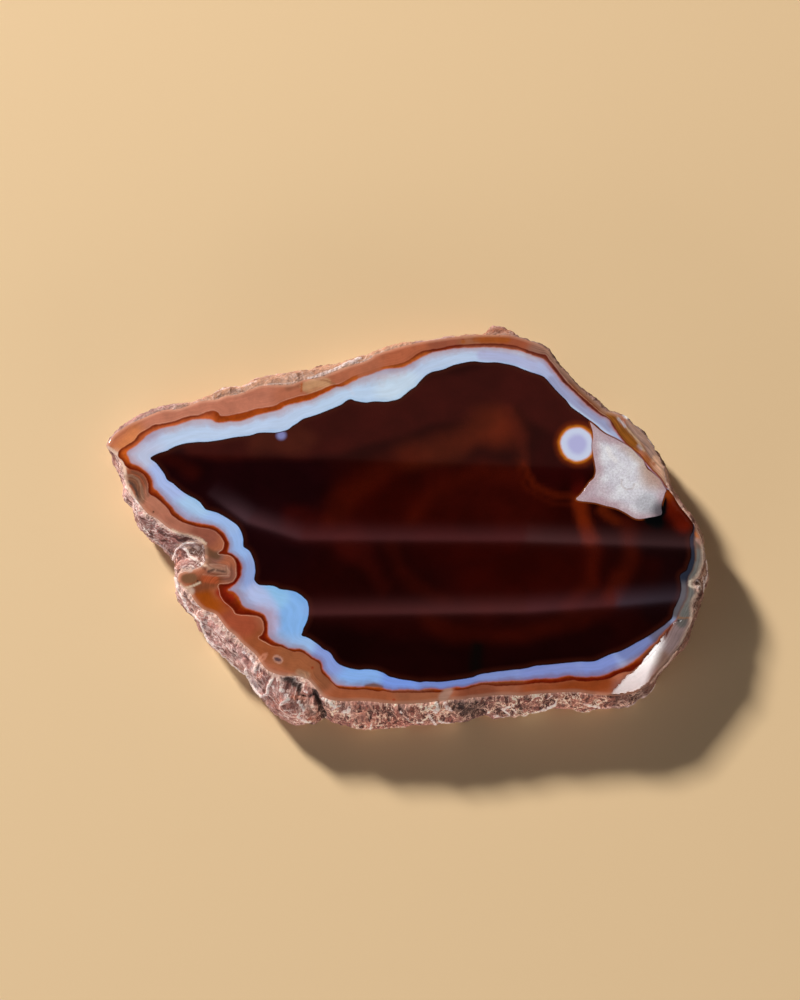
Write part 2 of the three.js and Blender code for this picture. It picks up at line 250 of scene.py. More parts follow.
VEINS = [
    ([(-70.1, 6.3), (-68.6, 5.4), (-67.2, 2.7), (-65.7, 0.9), (-63.6, -0.8), (-61, -2.6),
      (-58.4, -4.8), (-55.9, -6.3)], 0.11, 0.42, 0.3),
    ([(-58.1, -13.1), (-57, -10.5), (-55, -8.7), (-52.5, -8.5), (-49.6, -9)], 0.09, 0.42, 0.3),
    ([(-54.9, -9.8), (-53.6, -11.8), (-51.1, -13.5), (-49, -14.8), (-46.5, -15.7)], 0.14, 0.42, 0.45),
    ([(-66.3, -3.9), (-63.7, -7), (-61.6, -8.7), (-59, -11.4)], 0.09, 0.42, 0.2),
    ([(-63.9, -2.6), (-63, -4.4), (-62.5, -5.7)], 0.05, 0.4, 0.2),
    ([(-56.7, -17.9), (-56, -20.9), (-54.9, -23), (-53.6, -26.5), (-50.2, -29), (-49.3, -32.4),
      (-48, -34.6), (-45.9, -36.7), (-44.2, -39.2), (-42.6, -40.9), (-39.7, -43)], 0.14, 0.42, 0.3),
    ([(-39.4, -36.7), (-37.8, -37.9), (-36.1, -40), (-36.5, -41.7)], 0.14, 0.42, 0.4),
    ([(-38.9, -41.3), (-38.4, -43.8), (-37.2, -45.9), (-35.1, -48.4), (-33.5, -47.6), (-33.1, -45.1),
      (-32, -43)], 0.14, 0.42, 0.4),
    ([(-49.5, -26.5), (-47.8, -27.8), (-46.1, -29.5)], 0.09, 0.42, 0.25),
    ([(-50.3, -25.2), (-52, -24.3), (-53.3, -22.6)], 0.09, 0.42, 0.2),
    ([(-30.3, -46.3), (-29.2, -47.1), (-28.3, -48.7), (-28.9, -49.1), (-30.2, -50.1)], 0.14, 0.42, 0.4),
    ([(-28.3, -48.7), (-27.2, -48.5), (-26.2, -48.7), (-25.6, -49.8), (-24.8, -50.7), (-24.6, -51.8)],
     0.14, 0.42, 0.4),
    ([(-25.5, -52.3), (-26.1, -53.2), (-25, -54.3), (-23.2, -54.9)], 0.11, 0.51, 0.3),
    ([(-25.3, -46.7), (-23.8, -47), (-22, -46.7)], 0.07, 0.4, 0.3),
    ([(-20.4, -48.5), (-19.4, -48.5), (-18.1, -49.4), (-17.2, -50.5), (-15, -50.3)], 0.14, 0.51, 0.3),
    ([(-17.2, -50.5), (-17.8, -51.3), (-15.9, -50.7)], 0.07, 0.4, 0.2),
    ([(-15, -51.6), (-13.7, -51.8), (-13.5, -50.7)], 0.14, 0.77, 0.3),
    ([(-13.3, -52.3), (-12.2, -54.3), (-13.3, -55.4)], 0.07, 0.42, 0.2),
    ([(-8.3, -52.3), (-7.8, -54.3), (-8.5, -56.5)], 0.09, 0.42, 0.25),
    ([(-1.1, -51.8), (-0.5, -52.7), (0.6, -53.8)], 0.14, 0.42, 0.35),
    ([(-5.7, -50), (-5, -51.4)], 0.09, 0.42, 0.25),
    ([(5.7, -52.5), (6.4, -54), (7.5, -55.6)], 0.14, 0.42, 0.35),
    ([(7.5, -49.4), (8.1, -50.9), (7.5, -51.8)], 0.14, 0.51, 0.35),
    ([(9.7, -49.6), (10.3, -50.9), (11.6, -51.4)], 0.14, 0.77, 0.35),
    ([(8.3, -54.5), (10.1, -54.9), (12.2, -55.4), (13.7, -54.9)], 0.14, 0.51, 0.25),
    ([(3.1, -54.7), (4.4, -54.9)], 0.14, 0.51, 0.25),
    ([(19.2, -53.6), (20, -52.7), (20.7, -52)], 0.09, 0.4, 0.3),
    ([(21.8, -53.4), (23.5, -53.5), (25.2, -53.6), (25.5, -52.9), (24.4, -52), (23.7, -51.4),
      (25.5, -50.7)], 0.11, 0.4, 0.35),
    ([(26.3, -51.4), (27.2, -52.5), (28, -53.6), (30, -53.5)], 0.11, 0.4, 0.3),
    ([(32.8, -50.1), (34, -49.3), (35.6, -47.8)], 0.11, 0.4, 0.3),
    ([(31.2, -53.2), (32.2, -52.8), (33.5, -51.6), (35.2, -50.9), (36.5, -50.4), (36.9, -48.6)],
     0.14, 0.4, 0.35),
    ([(43.7, -49.8), (45.7, -50.6), (47.6, -51.1)], 0.14, 0.51, 0.25),
    ([(45.6, -52.1), (47.6, -52), (49.1, -51.1), (51.6, -51.1), (53.6, -51.6), (54.6, -50.6),
      (54.2, -48.8)], 0.05, 0.36, 0.2),
    ([(54.6, -50.9), (57.6, -49.1), (59.9, -47.3), (62.8, -44.5)], 0.09, 0.4, 0.25),
    ([(-48.5, 30.2), (-44.9, 30.9), (-40.3, 31.4), (-38.4, 33), (-34.5, 34.1), (-30.3, 34.4),
      (-26.7, 34.9)], 0.09, 0.4, 0.2),
    ([(-48.5, 31.9), (-46.3, 33), (-43.6, 33.2), (-40.7, 33.7), (-37.8, 35.1)], 0.09, 0.4, 0.2),
    ([(-24.7, 35.7), (-21.6, 36.8), (-18.5, 38), (-15, 39.7), (-11.4, 41.5)], 0.14, 0.51, 0.3),
    ([(-15, 39.7), (-11.4, 40.2), (-8.3, 41.5), (-4.4, 43.2)], 0.07, 0.4, 0.2),
    ([(61.5, 19), (62.7, 17.3), (64.2, 14.5)], 0.05, 0.4, 0.2),
    ([(74.7, -13.2), (75.1, -16.2), (74.4, -19.5)], 0.07, 0.4, 0.25),
    ([(73.8, -17.5), (74.3, -20.8), (74.3, -23.1)], 0.07, 0.4, 0.25),
    ([(70.3, -18.8), (71.6, -18), (72.6, -18.8), (73.1, -19.8), (71.5, -20.8)], 0.09, 0.4, 0.25),
]
HOLLOWS = [
    ([(-52.4, -10.9), (-50.8, -10.1), (-48.7, -11.4)], 0.56, 1.35, -0.35),
    ([(-50.7, -12.7), (-48.7, -12.7)], 0.56, 1.08, -0.2),
    ([(-56.6, -16.1)], 0.21, 0.63, -0.54),
    ([(-54.2, -7), (-50.9, -8.1)], 0.21, 0.63, -0.27),
    ([(-63.4, -5.2)], 0.56, 1.35, -0.27),
    ([(-42.2, -37.9), (-40.6, -38.8)], 0.28, 0.9, -0.27),
    ([(-39, -37.9), (-38.1, -39.2)], 0.14, 0.63, -0.45),
    ([(-29.9, -43.6), (-28.6, -43.4)], 0.14, 0.54, -0.54),
    ([(-28.4, -43.6), (-27.3, -44), (-26, -44.9), (-25.5, -45.8)], 0.42, 0.81, -0.9),
    ([(-25.9, -47.6), (-24.4, -47.6), (-22.9, -47.8)], 0.14, 0.45, -0.54),
    ([(-21.9, -46.7), (-21.3, -48.2), (-20.7, -50), (-20.3, -51.8), (-19.8, -53.2), (-20, -54.3)],
     0.24, 0.63, -1.17),
    ([(-22.8, -51.4), (-22.6, -53.4)], 0.14, 0.54, -0.45),
    ([(-16.3, -51.4), (-15.5, -51), (-14.8, -50.6)], 0.14, 0.54, -0.36),
    ([(-11.1, -50.4)], 0.07, 0.45, -0.36),
    ([(-13, -54.9), (-11.5, -53.2), (-9.4, -52.7), (-8.5, -53.2)], 0.21, 0.9, -0.27),
    ([(-6.8, -51.4), (-4.2, -52.3), (-3.5, -55.4), (-6.3, -54.5)], 0.7, 1.44, -0.18),
    ([(-1.1, -53.2), (-0.3, -54.5)], 0.35, 0.9, -0.32),
    ([(12.7, -50.7), (14, -51.8), (16.1, -51.6)], 0.56, 1.17, -0.36),
    ([(15.3, -50), (15.3, -53.2)], 0.35, 0.9, -0.32),
    ([(19.2, -48.9), (19.2, -53.2)], 0.21, 0.72, -0.32),
    ([(21.8, -52.3), (22.2, -51.2)], 0.28, 0.81, -0.36),
    ([(23.5, -52.9), (24.8, -53.2)], 0.14, 0.54, -0.45),
    ([(28.2, -51.6), (28.2, -52.8)], 0.28, 0.72, -0.72),
    ([(28, -52.6), (28.3, -53.2)], 0.28, 0.72, -0.72),
    ([(33.5, -50.4), (34.8, -49.6), (36, -48.8)], 0.35, 0.81, -0.36),
    ([(37.8, -49.1), (37.7, -50.6)], 0.21, 0.72, -0.27),
    ([(51.7, -49.1), (52.6, -49.6)], 0.21, 0.72, -0.36),
    ([(56.2, -48.6), (57.7, -47.5)], 0.28, 0.72, -0.36),
    ([(-47.8, 30.5), (-45.6, 31.6), (-44, 32.3)], 0.28, 0.63, -0.45),
    ([(-43, 32.5), (-41, 32.1)], 0.21, 0.54, -0.45),
    ([(63.3, 16.6), (64.2, 14.5)], 0.07, 0.36, -0.36),
]
print(len(VEINS), "veins and", len(HOLLOWS), "hollows")

# %% Give the rim a mesh and its grip
EDGE_GRIP = 0.16
GRIP_ROWS = 4
BASE_ROWS = 5


def grid_faces(rows, columns):
    """Quads of a grid that closes round its columns."""
    row, column = np.meshgrid(np.arange(rows - 1), np.arange(columns), indexing="ij")
    beside = (column + 1) % columns
    corners = [row * columns + column, row * columns + beside]
    corners += [(row + 1) * columns + beside, (row + 1) * columns + column]
    return np.stack(corners, axis=2).reshape(-1, 4)


def soft(share):
    """A soft step between 0 and 1."""
    share = np.clip(share, 0, 1)
    return share * share * (3 - 2 * share)


def stroke_share(points, path, reach, softness):
    """1 within the reach of a path, falling to 0 over the softness."""
    path = np.array(path, float).reshape(-1, 2)
    gaps = np.linalg.norm(points - path[0], axis=1)
    for start, end in pairwise(path):
        way = end - start
        share = np.clip(((points - start) @ way) / (way @ way), 0, 1)
        gaps = np.minimum(gaps, np.linalg.norm(points - start - share[:, None] * way, axis=1))
    return soft((reach + softness - gaps) / softness)


def seen(points):
    """Points of the skin where the camera sees them on the plane of the face, as drawn."""
    below = points[:, 2].max() - points[:, 2]
    return points[:, :2] + DRAWN_CENTRE - below[:, None] * [0, VIEW_SLANT]


def store(mesh, name, values, kind="FLOAT", field="value"):
    """Keeps a number, a vector or a colour for every point of a mesh."""
    mesh.attributes.new(name, kind, "POINT").data.foreach_set(field, np.ravel(values))


def rim_object():
    """The rim as an object, with its grip and its carving stored on its points."""
    mesh = bpy.data.meshes.new("rim")
    mesh.from_pydata((rim.reshape(-1, 3) * MM).tolist(), [], grid_faces(ROWS, COLUMNS).tolist())
    row = np.repeat(np.arange(ROWS), COLUMNS)
    grip = EDGE_GRIP + (1 - EDGE_GRIP) * soft(row / GRIP_ROWS)
    grip *= soft((ROWS - 1 - row) / BASE_ROWS)
    store(mesh, "grip", grip)
    points = seen(rim.reshape(-1, 3))
    carve = np.zeros(len(points))
    for path, reach, softness, lift in VEINS + HOLLOWS:
        share = stroke_share(points, path, reach, softness)
        carve += share * (lift - carve)
    store(mesh, "carve", carve)
    made = bpy.data.objects.new("rim", mesh)
    bpy.context.scene.collection.objects.link(made)
    return made


bark_rim = rim_object()
print("rim points", len(bark_rim.data.vertices))

# %% Build the relief tree and apply it
BARK_SIZES = {
    "Lump Width": 6.0,
    "Lump Height": 0.9,
    "Knot Width": 2.2,
    "Knot Height": 0.95,
    "Grain Width": 1.15,
    "Grain Height": 0.5,
    "Seed": 7.0,
}
WANDER_WIDTH = 1.4
GRAIN_LEVEL = 0.55


def relief_tree(material):
    """Moves a skin along its normals by lumps, knots and grains, and keeps how high each point came."""
    tree = bpy.data.node_groups.new("bark_relief", "GeometryNodeTree")
    tree.interface.new_socket("Geometry", in_out="OUTPUT", socket_type="NodeSocketGeometry")
    tree.interface.new_socket("Geometry", in_out="INPUT", socket_type="NodeSocketGeometry")
    for name, size in BARK_SIZES.items():
        tree.interface.new_socket(name, in_out="INPUT", socket_type="NodeSocketFloat").default_value = size
    sheet = Sheet(tree)
    skin = sheet.node("NodeGroupInput")
    size = {name: skin.also(name) for name in BARK_SIZES}
    place = sheet.vector("MULTIPLY", sheet.node("GeometryNodeInputPosition"), (1 / MM,) * 3)

    def cloud(part, detail, roughness):
        """A noise as wide and as high as the inputs of one part say."""
        spot = {"Vector": place, "W": size["Seed"], "Scale": 1 / size[f"{part} Width"], "Detail": detail}
        grey = sheet.node("ShaderNodeTexNoise", {"noise_dimensions": "4D"}, spot | {"Roughness": roughness})
        return (grey - 0.5) * size[f"{part} Height"]

    def kept(name):
        """A number that is kept on the points."""
        return sheet.node("GeometryNodeInputNamedAttribute", {"data_type": "FLOAT"}, {"Name": name})

    wander = sheet.noise(place, WANDER_WIDTH, 2, 0.5, size["Seed"]).also("Color")
    bent = sheet.vector("ADD", place, wander)
    cells = {"Vector": bent, "W": size["Seed"], "Scale": 1 / size["Grain Width"], "Randomness": 1.0}
    grain = sheet.node("ShaderNodeTexVoronoi", {"voronoi_dimensions": "4D"}, cells)
    fine = cloud("Knot", 4, 0.62) + (GRAIN_LEVEL - grain) * size["Grain Height"]
    height = cloud("Lump", 2, 0.55) + fine + kept("carve")
    push = sheet.scaled(sheet.node("GeometryNodeInputNormal"), height * kept("grip") * MM)
    moved = sheet.node("GeometryNodeSetPosition", None, {"Geometry": skin, "Offset": push})
    noted = sheet.node(
        "GeometryNodeStoreNamedAttribute",
        {"data_type": "FLOAT", "domain": "POINT"},
        {"Geometry": moved, "Name": "height", "Value": fine},
    )
    real = sheet.node("GeometryNodeRealizeInstances", None, {"Geometry": noted})
    painted = sheet.node("GeometryNodeSetMaterial", None, {"Geometry": real, "Material": material})
    sheet.node("NodeGroupOutput", None, {"Geometry": painted})
    return tree


def plain_mesh(made, tree, sizes):
    """Runs a tree on an object and returns the result as a plain mesh."""
    modifier = made.modifiers.new(tree.name, "NODES")
    modifier.node_group = tree
    for item in tree.interface.items_tree:
        if item.in_out == "INPUT" and item.name in sizes:
            modifier[item.identifier] = sizes[item.name]
    solved = made.evaluated_get(bpy.context.evaluated_depsgraph_get())
    mesh = bpy.data.meshes.new_from_object(solved)
    made.modifiers.remove(modifier)
    return mesh


bark = bpy.data.materials.new("rough_bark")
relieved = plain_mesh(bark_rim, relief_tree(bark), BARK_SIZES)
rim_points = points_of(relieved)
bpy.data.objects.remove(bark_rim)
print("relief moved points by up to", round(float(np.abs(rim_points - rim.reshape(-1, 3)).max()), 2), "mm")

# %% [markdown]
# ## The polished face and the sawn base
#
# Both are flat sheets that fill a wavy outline. A fan of long triangles would do for the shape, but the
# colours are carried by the points, so the points have to lie close together. A grid of points and a
# Delaunay fill give even triangles, and the fill keeps the outline and the shoulder as edges.

# %% Measure distances inside an outline
HAIR = 0.1


def resampled(loop, spacing):
    """Points at even distances along a closed loop."""
    closed = np.vstack([loop, loop[:1]])
    run = np.concatenate([[0], np.cumsum(np.linalg.norm(np.diff(closed, axis=0), axis=1))])
    count = math.ceil(run[-1] / spacing)
    wanted = run[-1] * np.arange(count) / count
    return np.stack([np.interp(wanted, run, closed[:, k]) for k in range(closed.shape[1])], axis=1)


def nearest(points, targets):
    """The number of the target nearest to each point, seen from above."""
    tree = KDTree(len(targets))
    for k, (x, y) in enumerate(targets[:, :2].tolist()):
        tree.insert((x, y, 0), k)
    tree.balance()
    return np.array([tree.find((x, y, 0))[1] for x, y in points[:, :2].tolist()])


def depth_inside(points, loop):
    """How far inside a clockwise loop each point lies, in millimetres; outside it is negative."""
    dense = resampled(loop, HAIR)
    closest = nearest(points, dense)
    way = np.roll(dense, -1, axis=0) - np.roll(dense, 1, axis=0)
    way = (way / np.linalg.norm(way, axis=1)[:, None])[closest]
    gap = points - dense[closest]
    across = way[:, 1] * gap[:, 0] - way[:, 0] * gap[:, 1]
    along = np.abs((way * gap).sum(axis=1))
    return np.copysign(np.hypot(across, np.maximum(0, along - HAIR / 2)), across)


square = np.array([[0, 0], [0, 2], [2, 2], [2, 0]], float)
print("check, 0.5 inside a square:", depth_inside(np.array([[0.5, 1.0], [-0.5, 1.0]]), square).round(3))

# %% [markdown]
# ## Where the layers meet
#
# An agate grows layer on layer, so its pattern is a few closed lines, one inside another: the edge of the
# dark middle, the outer edge of the pale band and the outer edge of the rust line. Each is drawn below as
# a loop of points in millimetres, read off clockwise from the left. Painting a picture would fix the
# pattern at one size. Storing on every point of the stone how deep it lies inside each loop keeps the
# lines sharp at any size, and lets a colour follow the layers.

# %% Draw the edge of the dark middle
MIDDLE = [
    (-64.1, 13.9), (-62.2, 15.2), (-60.1, 15.9), (-58.6, 16.8), (-56, 17.8), (-52.4, 18.3), (-49.6, 18.4),
    (-45.9, 19), (-43.1, 19.6), (-39.2, 20.1), (-37, 20.8), (-34.2, 20.9), (-32.4, 20.9), (-29.8, 21.6),
    (-28.5, 22.6), (-27.2, 23.5), (-25.9, 24.5), (-24.3, 25.1), (-22, 25.9), (-19.9, 26.8), (-18.1, 27.6),
    (-16, 28.6), (-14.7, 29.7), (-13.7, 30), (-12.6, 29.6), (-11.3, 29.3), (-9.7, 29.1), (-7.7, 29.4),
    (-4.9, 29.3), (-3.6, 29.5), (-1.5, 30.1), (0, 31.3), (1.6, 32.7), (2.7, 33.5), (4, 35.1), (5.3, 36.5),
    (6.9, 37.5), (10, 38.3), (12.1, 39.3), (14.2, 39.9), (16.1, 40.3), (17.9, 40.5), (20.3, 40.2),
    (23.5, 40.2), (25.3, 39.9), (27.9, 39.3), (30, 38.4), (32.2, 37.5), (34, 36.9), (35.5, 36.2),
    (36.5, 35.1), (38.3, 32.8), (39.8, 31.1), (41.1, 29.7), (42.3, 27.9), (44.3, 26.3), (46.1, 24.9),
    (47.3, 23.9), (48.8, 22.7), (49.8, 21.6), (51.3, 20.4), (53.5, 19.2), (55.4, 17.9), (57.5, 16),
    (58.9, 14.5), (60.4, 12.4), (61.6, 10.8), (63.1, 9.2), (64.3, 7.6), (65.3, 5.8), (66.9, 5.3), (68, 3.8),
    (69, 1.8), (70.3, 0), (71.5, -2.2), (72, -3.8), (71.7, -5.8), (71.15, -6.6), (70.85, -8), (70.9, -9.6),
    (71.1, -10.7), (70.9, -12.6), (70.2, -14.4), (69.7, -15.8), (68.5, -16.6), (68, -17.4), (68.1, -18.7),
    (68.2, -20), (68, -21.6), (67.5, -23.2), (66.7, -24.8), (66.1, -26.1), (65.7, -27.7), (65.3, -28.5),
    (64.5, -29.1), (63.7, -29.9), (62.7, -30.6), (61.4, -31.5), (60.1, -32.4), (58.5, -33.4), (57, -34.2),
    (55.8, -34.9), (54, -35.9), (52.3, -36.7), (50.3, -37.3), (48.8, -38), (47.3, -38.7), (46.3, -39.1),
    (44.7, -39.25), (42.9, -39.25), (40.9, -39.4), (38.9, -39.6), (36, -39.9), (33.8, -40.1), (32, -40.25),
    (30.5, -40.65), (28.7, -41.05), (27.2, -41.2), (25.5, -41.4), (22, -41.8), (20.3, -42.1), (18.8, -42.3),
    (17.5, -42.7), (16.3, -43.2), (13.8, -43.65), (11.3, -44), (8.3, -44.35), (5, -44.25), (3.5, -44.4),
    (1.3, -44), (-1, -43.7), (-2.35, -43.35), (-3.85, -42.95), (-4.85, -42.3), (-5.85, -41.8), (-7.1, -41.4),
    (-8.3, -41.2), (-9.8, -41.15), (-11, -41.3), (-12.3, -41.15), (-13.8, -40.8), (-15, -40.4), (-16, -39.9),
    (-16.8, -39.2), (-17.5, -38.2), (-18, -37.3), (-18.8, -36.6), (-20, -36), (-21, -35.05), (-22, -34.3),
    (-23, -33.6), (-24, -33.05), (-25.3, -32.6), (-25.1, -31.7), (-24.85, -30.6), (-24.35, -29.6),
    (-23.9, -28.3), (-23.65, -26.7), (-23.7, -25.2), (-24.1, -23.8), (-24.8, -23), (-25.8, -22.1),
    (-27, -21.4), (-28.6, -21), (-30.7, -20.7), (-31.7, -20.15), (-33, -19.8), (-35.5, -19.7), (-36.3, -19.4),
    (-36.8, -18.85), (-37.2, -18.2), (-37.1, -17.1), (-37, -16.1), (-37.1, -14.7), (-37.4, -13.3),
    (-38.2, -11.35), (-39, -10.4), (-40, -9.75), (-40.15, -9.05), (-40.2, -7.7), (-40.5, -6.35), (-41.1, -5),
    (-41.9, -3.9), (-42.95, -3.1), (-44.3, -2.15), (-45.6, -1.35), (-46.9, -0.7), (-48.4, -0.25),
    (-49.7, 0.15), (-50.5, 1.1), (-51.3, 2.15), (-52.65, 3.1), (-54.2, 3.95), (-55.8, 5), (-57.1, 6.1),
    (-58.2, 7.15), (-59.6, 8), (-60.4, 9.6), (-61.3, 10.9), (-62.6, 12.6),
]
print("middle:", len(MIDDLE), "points")

# %% Draw the outer edge of the pale band
PALE = [
    (-70, 15.6), (-68.2, 17), (-66.4, 18.7), (-64.8, 20.4), (-62.8, 21.5), (-60.8, 22.2), (-58.1, 22.8),
    (-55.8, 23.6), (-53.8, 24.3), (-51.2, 24.6), (-49.2, 24.4), (-47.9, 23.7), (-46.3, 23.5), (-44.3, 23.9),
    (-42.1, 23.9), (-40, 24.5), (-37.9, 25.4), (-36.3, 25.9), (-33.7, 26.6), (-31.9, 27), (-30.1, 28.2),
    (-28, 28.7), (-25.9, 29.3), (-23.9, 29.8), (-21.6, 31), (-19.5, 32.1), (-17.7, 33.2), (-15.6, 33.5),
    (-13.5, 34.7), (-11.6, 35.7), (-9.8, 36.4), (-7.6, 37.3), (-4.9, 38.3), (-2.3, 38.5), (0, 39),
    (2.2, 40.3), (4.3, 41.6), (6.9, 42.8), (10, 43.5), (13.4, 44.1), (17.4, 44.3), (20, 44.4), (24, 44.3),
    (26.6, 43.9), (29.2, 43.5), (30.8, 42.9), (33.4, 41.9), (35.4, 41.1), (36.5, 40.1), (38, 37.9),
    (39.2, 36.2), (40.4, 34.5), (42.4, 32.5), (44.1, 30.7), (45.8, 28.8), (47.8, 27), (49.7, 25.5),
    (51.5, 24.6), (52.5, 22.7), (53.7, 20.7), (55.4, 18.2), (57.6, 16.1), (59.1, 14.7), (60.6, 12.6),
    (61.8, 11), (63.3, 9.4), (64.5, 7.8), (65.6, 6), (67.2, 5.5), (68.3, 4), (69.3, 2), (70.6, 0.2),
    (71.8, -2), (72.3, -4.5), (72.1, -6.5), (71.9, -8), (72, -10), (72, -12.5), (71.6, -14.5), (71, -16),
    (70.2, -17.2), (69.8, -18.5), (69.8, -20), (69.7, -21.6), (69.2, -23.5), (68.3, -25), (67.6, -26.5),
    (66.9, -28), (66.2, -29), (65.5, -29.6), (64.65, -30.6), (63.85, -31.3), (63.05, -32.2), (62.25, -33),
    (61.65, -34.05), (60.6, -34.8), (59.6, -35.6), (58.55, -36.6), (57.5, -37.65), (56.2, -38.7),
    (54.9, -39.6), (53.65, -40.4), (52.35, -41), (50.85, -41.45), (49.6, -42.1), (48.3, -42.6), (47, -42.85),
    (45.3, -42.95), (43.3, -43.05), (41.6, -42.9), (39.85, -42.7), (38.6, -42.85), (37.1, -43.25),
    (35.1, -43.4), (32.85, -43.5), (31.1, -43.6), (29.4, -43.85), (25.6, -44), (21.7, -44.25), (19.7, -44.35),
    (18.2, -44.5), (16.7, -44.9), (15.4, -45.25), (14.2, -45.65), (12.7, -45.5), (11.2, -45.8), (8.7, -46.15),
    (7, -45.95), (5, -46), (3.3, -46.35), (0.9, -46.2), (-0.85, -46.2), (-2.6, -46.4), (-4.1, -46.2),
    (-5.35, -45.9), (-6.6, -45.7), (-8.1, -45.6), (-9.6, -45.5), (-10.3, -45.5), (-11.9, -45.5),
    (-13.4, -45.4), (-14.8, -45.3), (-16.3, -45.15), (-17.3, -44.4), (-18.3, -43.1), (-19.3, -41.9),
    (-19.95, -41.05), (-20.2, -39.75), (-20.85, -38.85), (-22.1, -38.2), (-23.6, -37.15), (-24.6, -36.25),
    (-25.9, -35.85), (-27.1, -35.9), (-28.4, -35.7), (-29.9, -34.9), (-31.4, -34.4), (-32.3, -33.8),
    (-33.3, -32.9), (-33.6, -31.85), (-33.5, -30.55), (-33.7, -29), (-34.25, -27.65), (-35.3, -26.75),
    (-36.85, -26.2), (-38.4, -25.7), (-39.7, -25.05), (-40.4, -23.7), (-41.1, -22.4), (-42.1, -21.35),
    (-43.5, -20.85), (-42.2, -19.75), (-41.2, -18.7), (-40.5, -17.4), (-40.35, -16.1), (-40.3, -14.7),
    (-40.8, -13.35), (-41.7, -12.3), (-42.75, -11.5), (-43.8, -11.1), (-43.7, -10.15), (-43.6, -8.8),
    (-44.15, -7.45), (-44.95, -6.1), (-46.3, -4.85), (-47.8, -4.05), (-49.4, -3.8), (-51.2, -3.4), (-53, -3),
    (-54.6, -2.45), (-55.9, -1.5), (-57.2, -0.4), (-58.3, 1.1), (-59.45, 2.3), (-60.4, 3.4), (-61.75, 4.85),
    (-62.9, 5.95), (-63.2, 7.4), (-63.7, 8.75), (-65.1, 10.4), (-67, 11.8), (-68.8, 12.6), (-69.5, 14),
]
print("pale band:", len(PALE), "points")

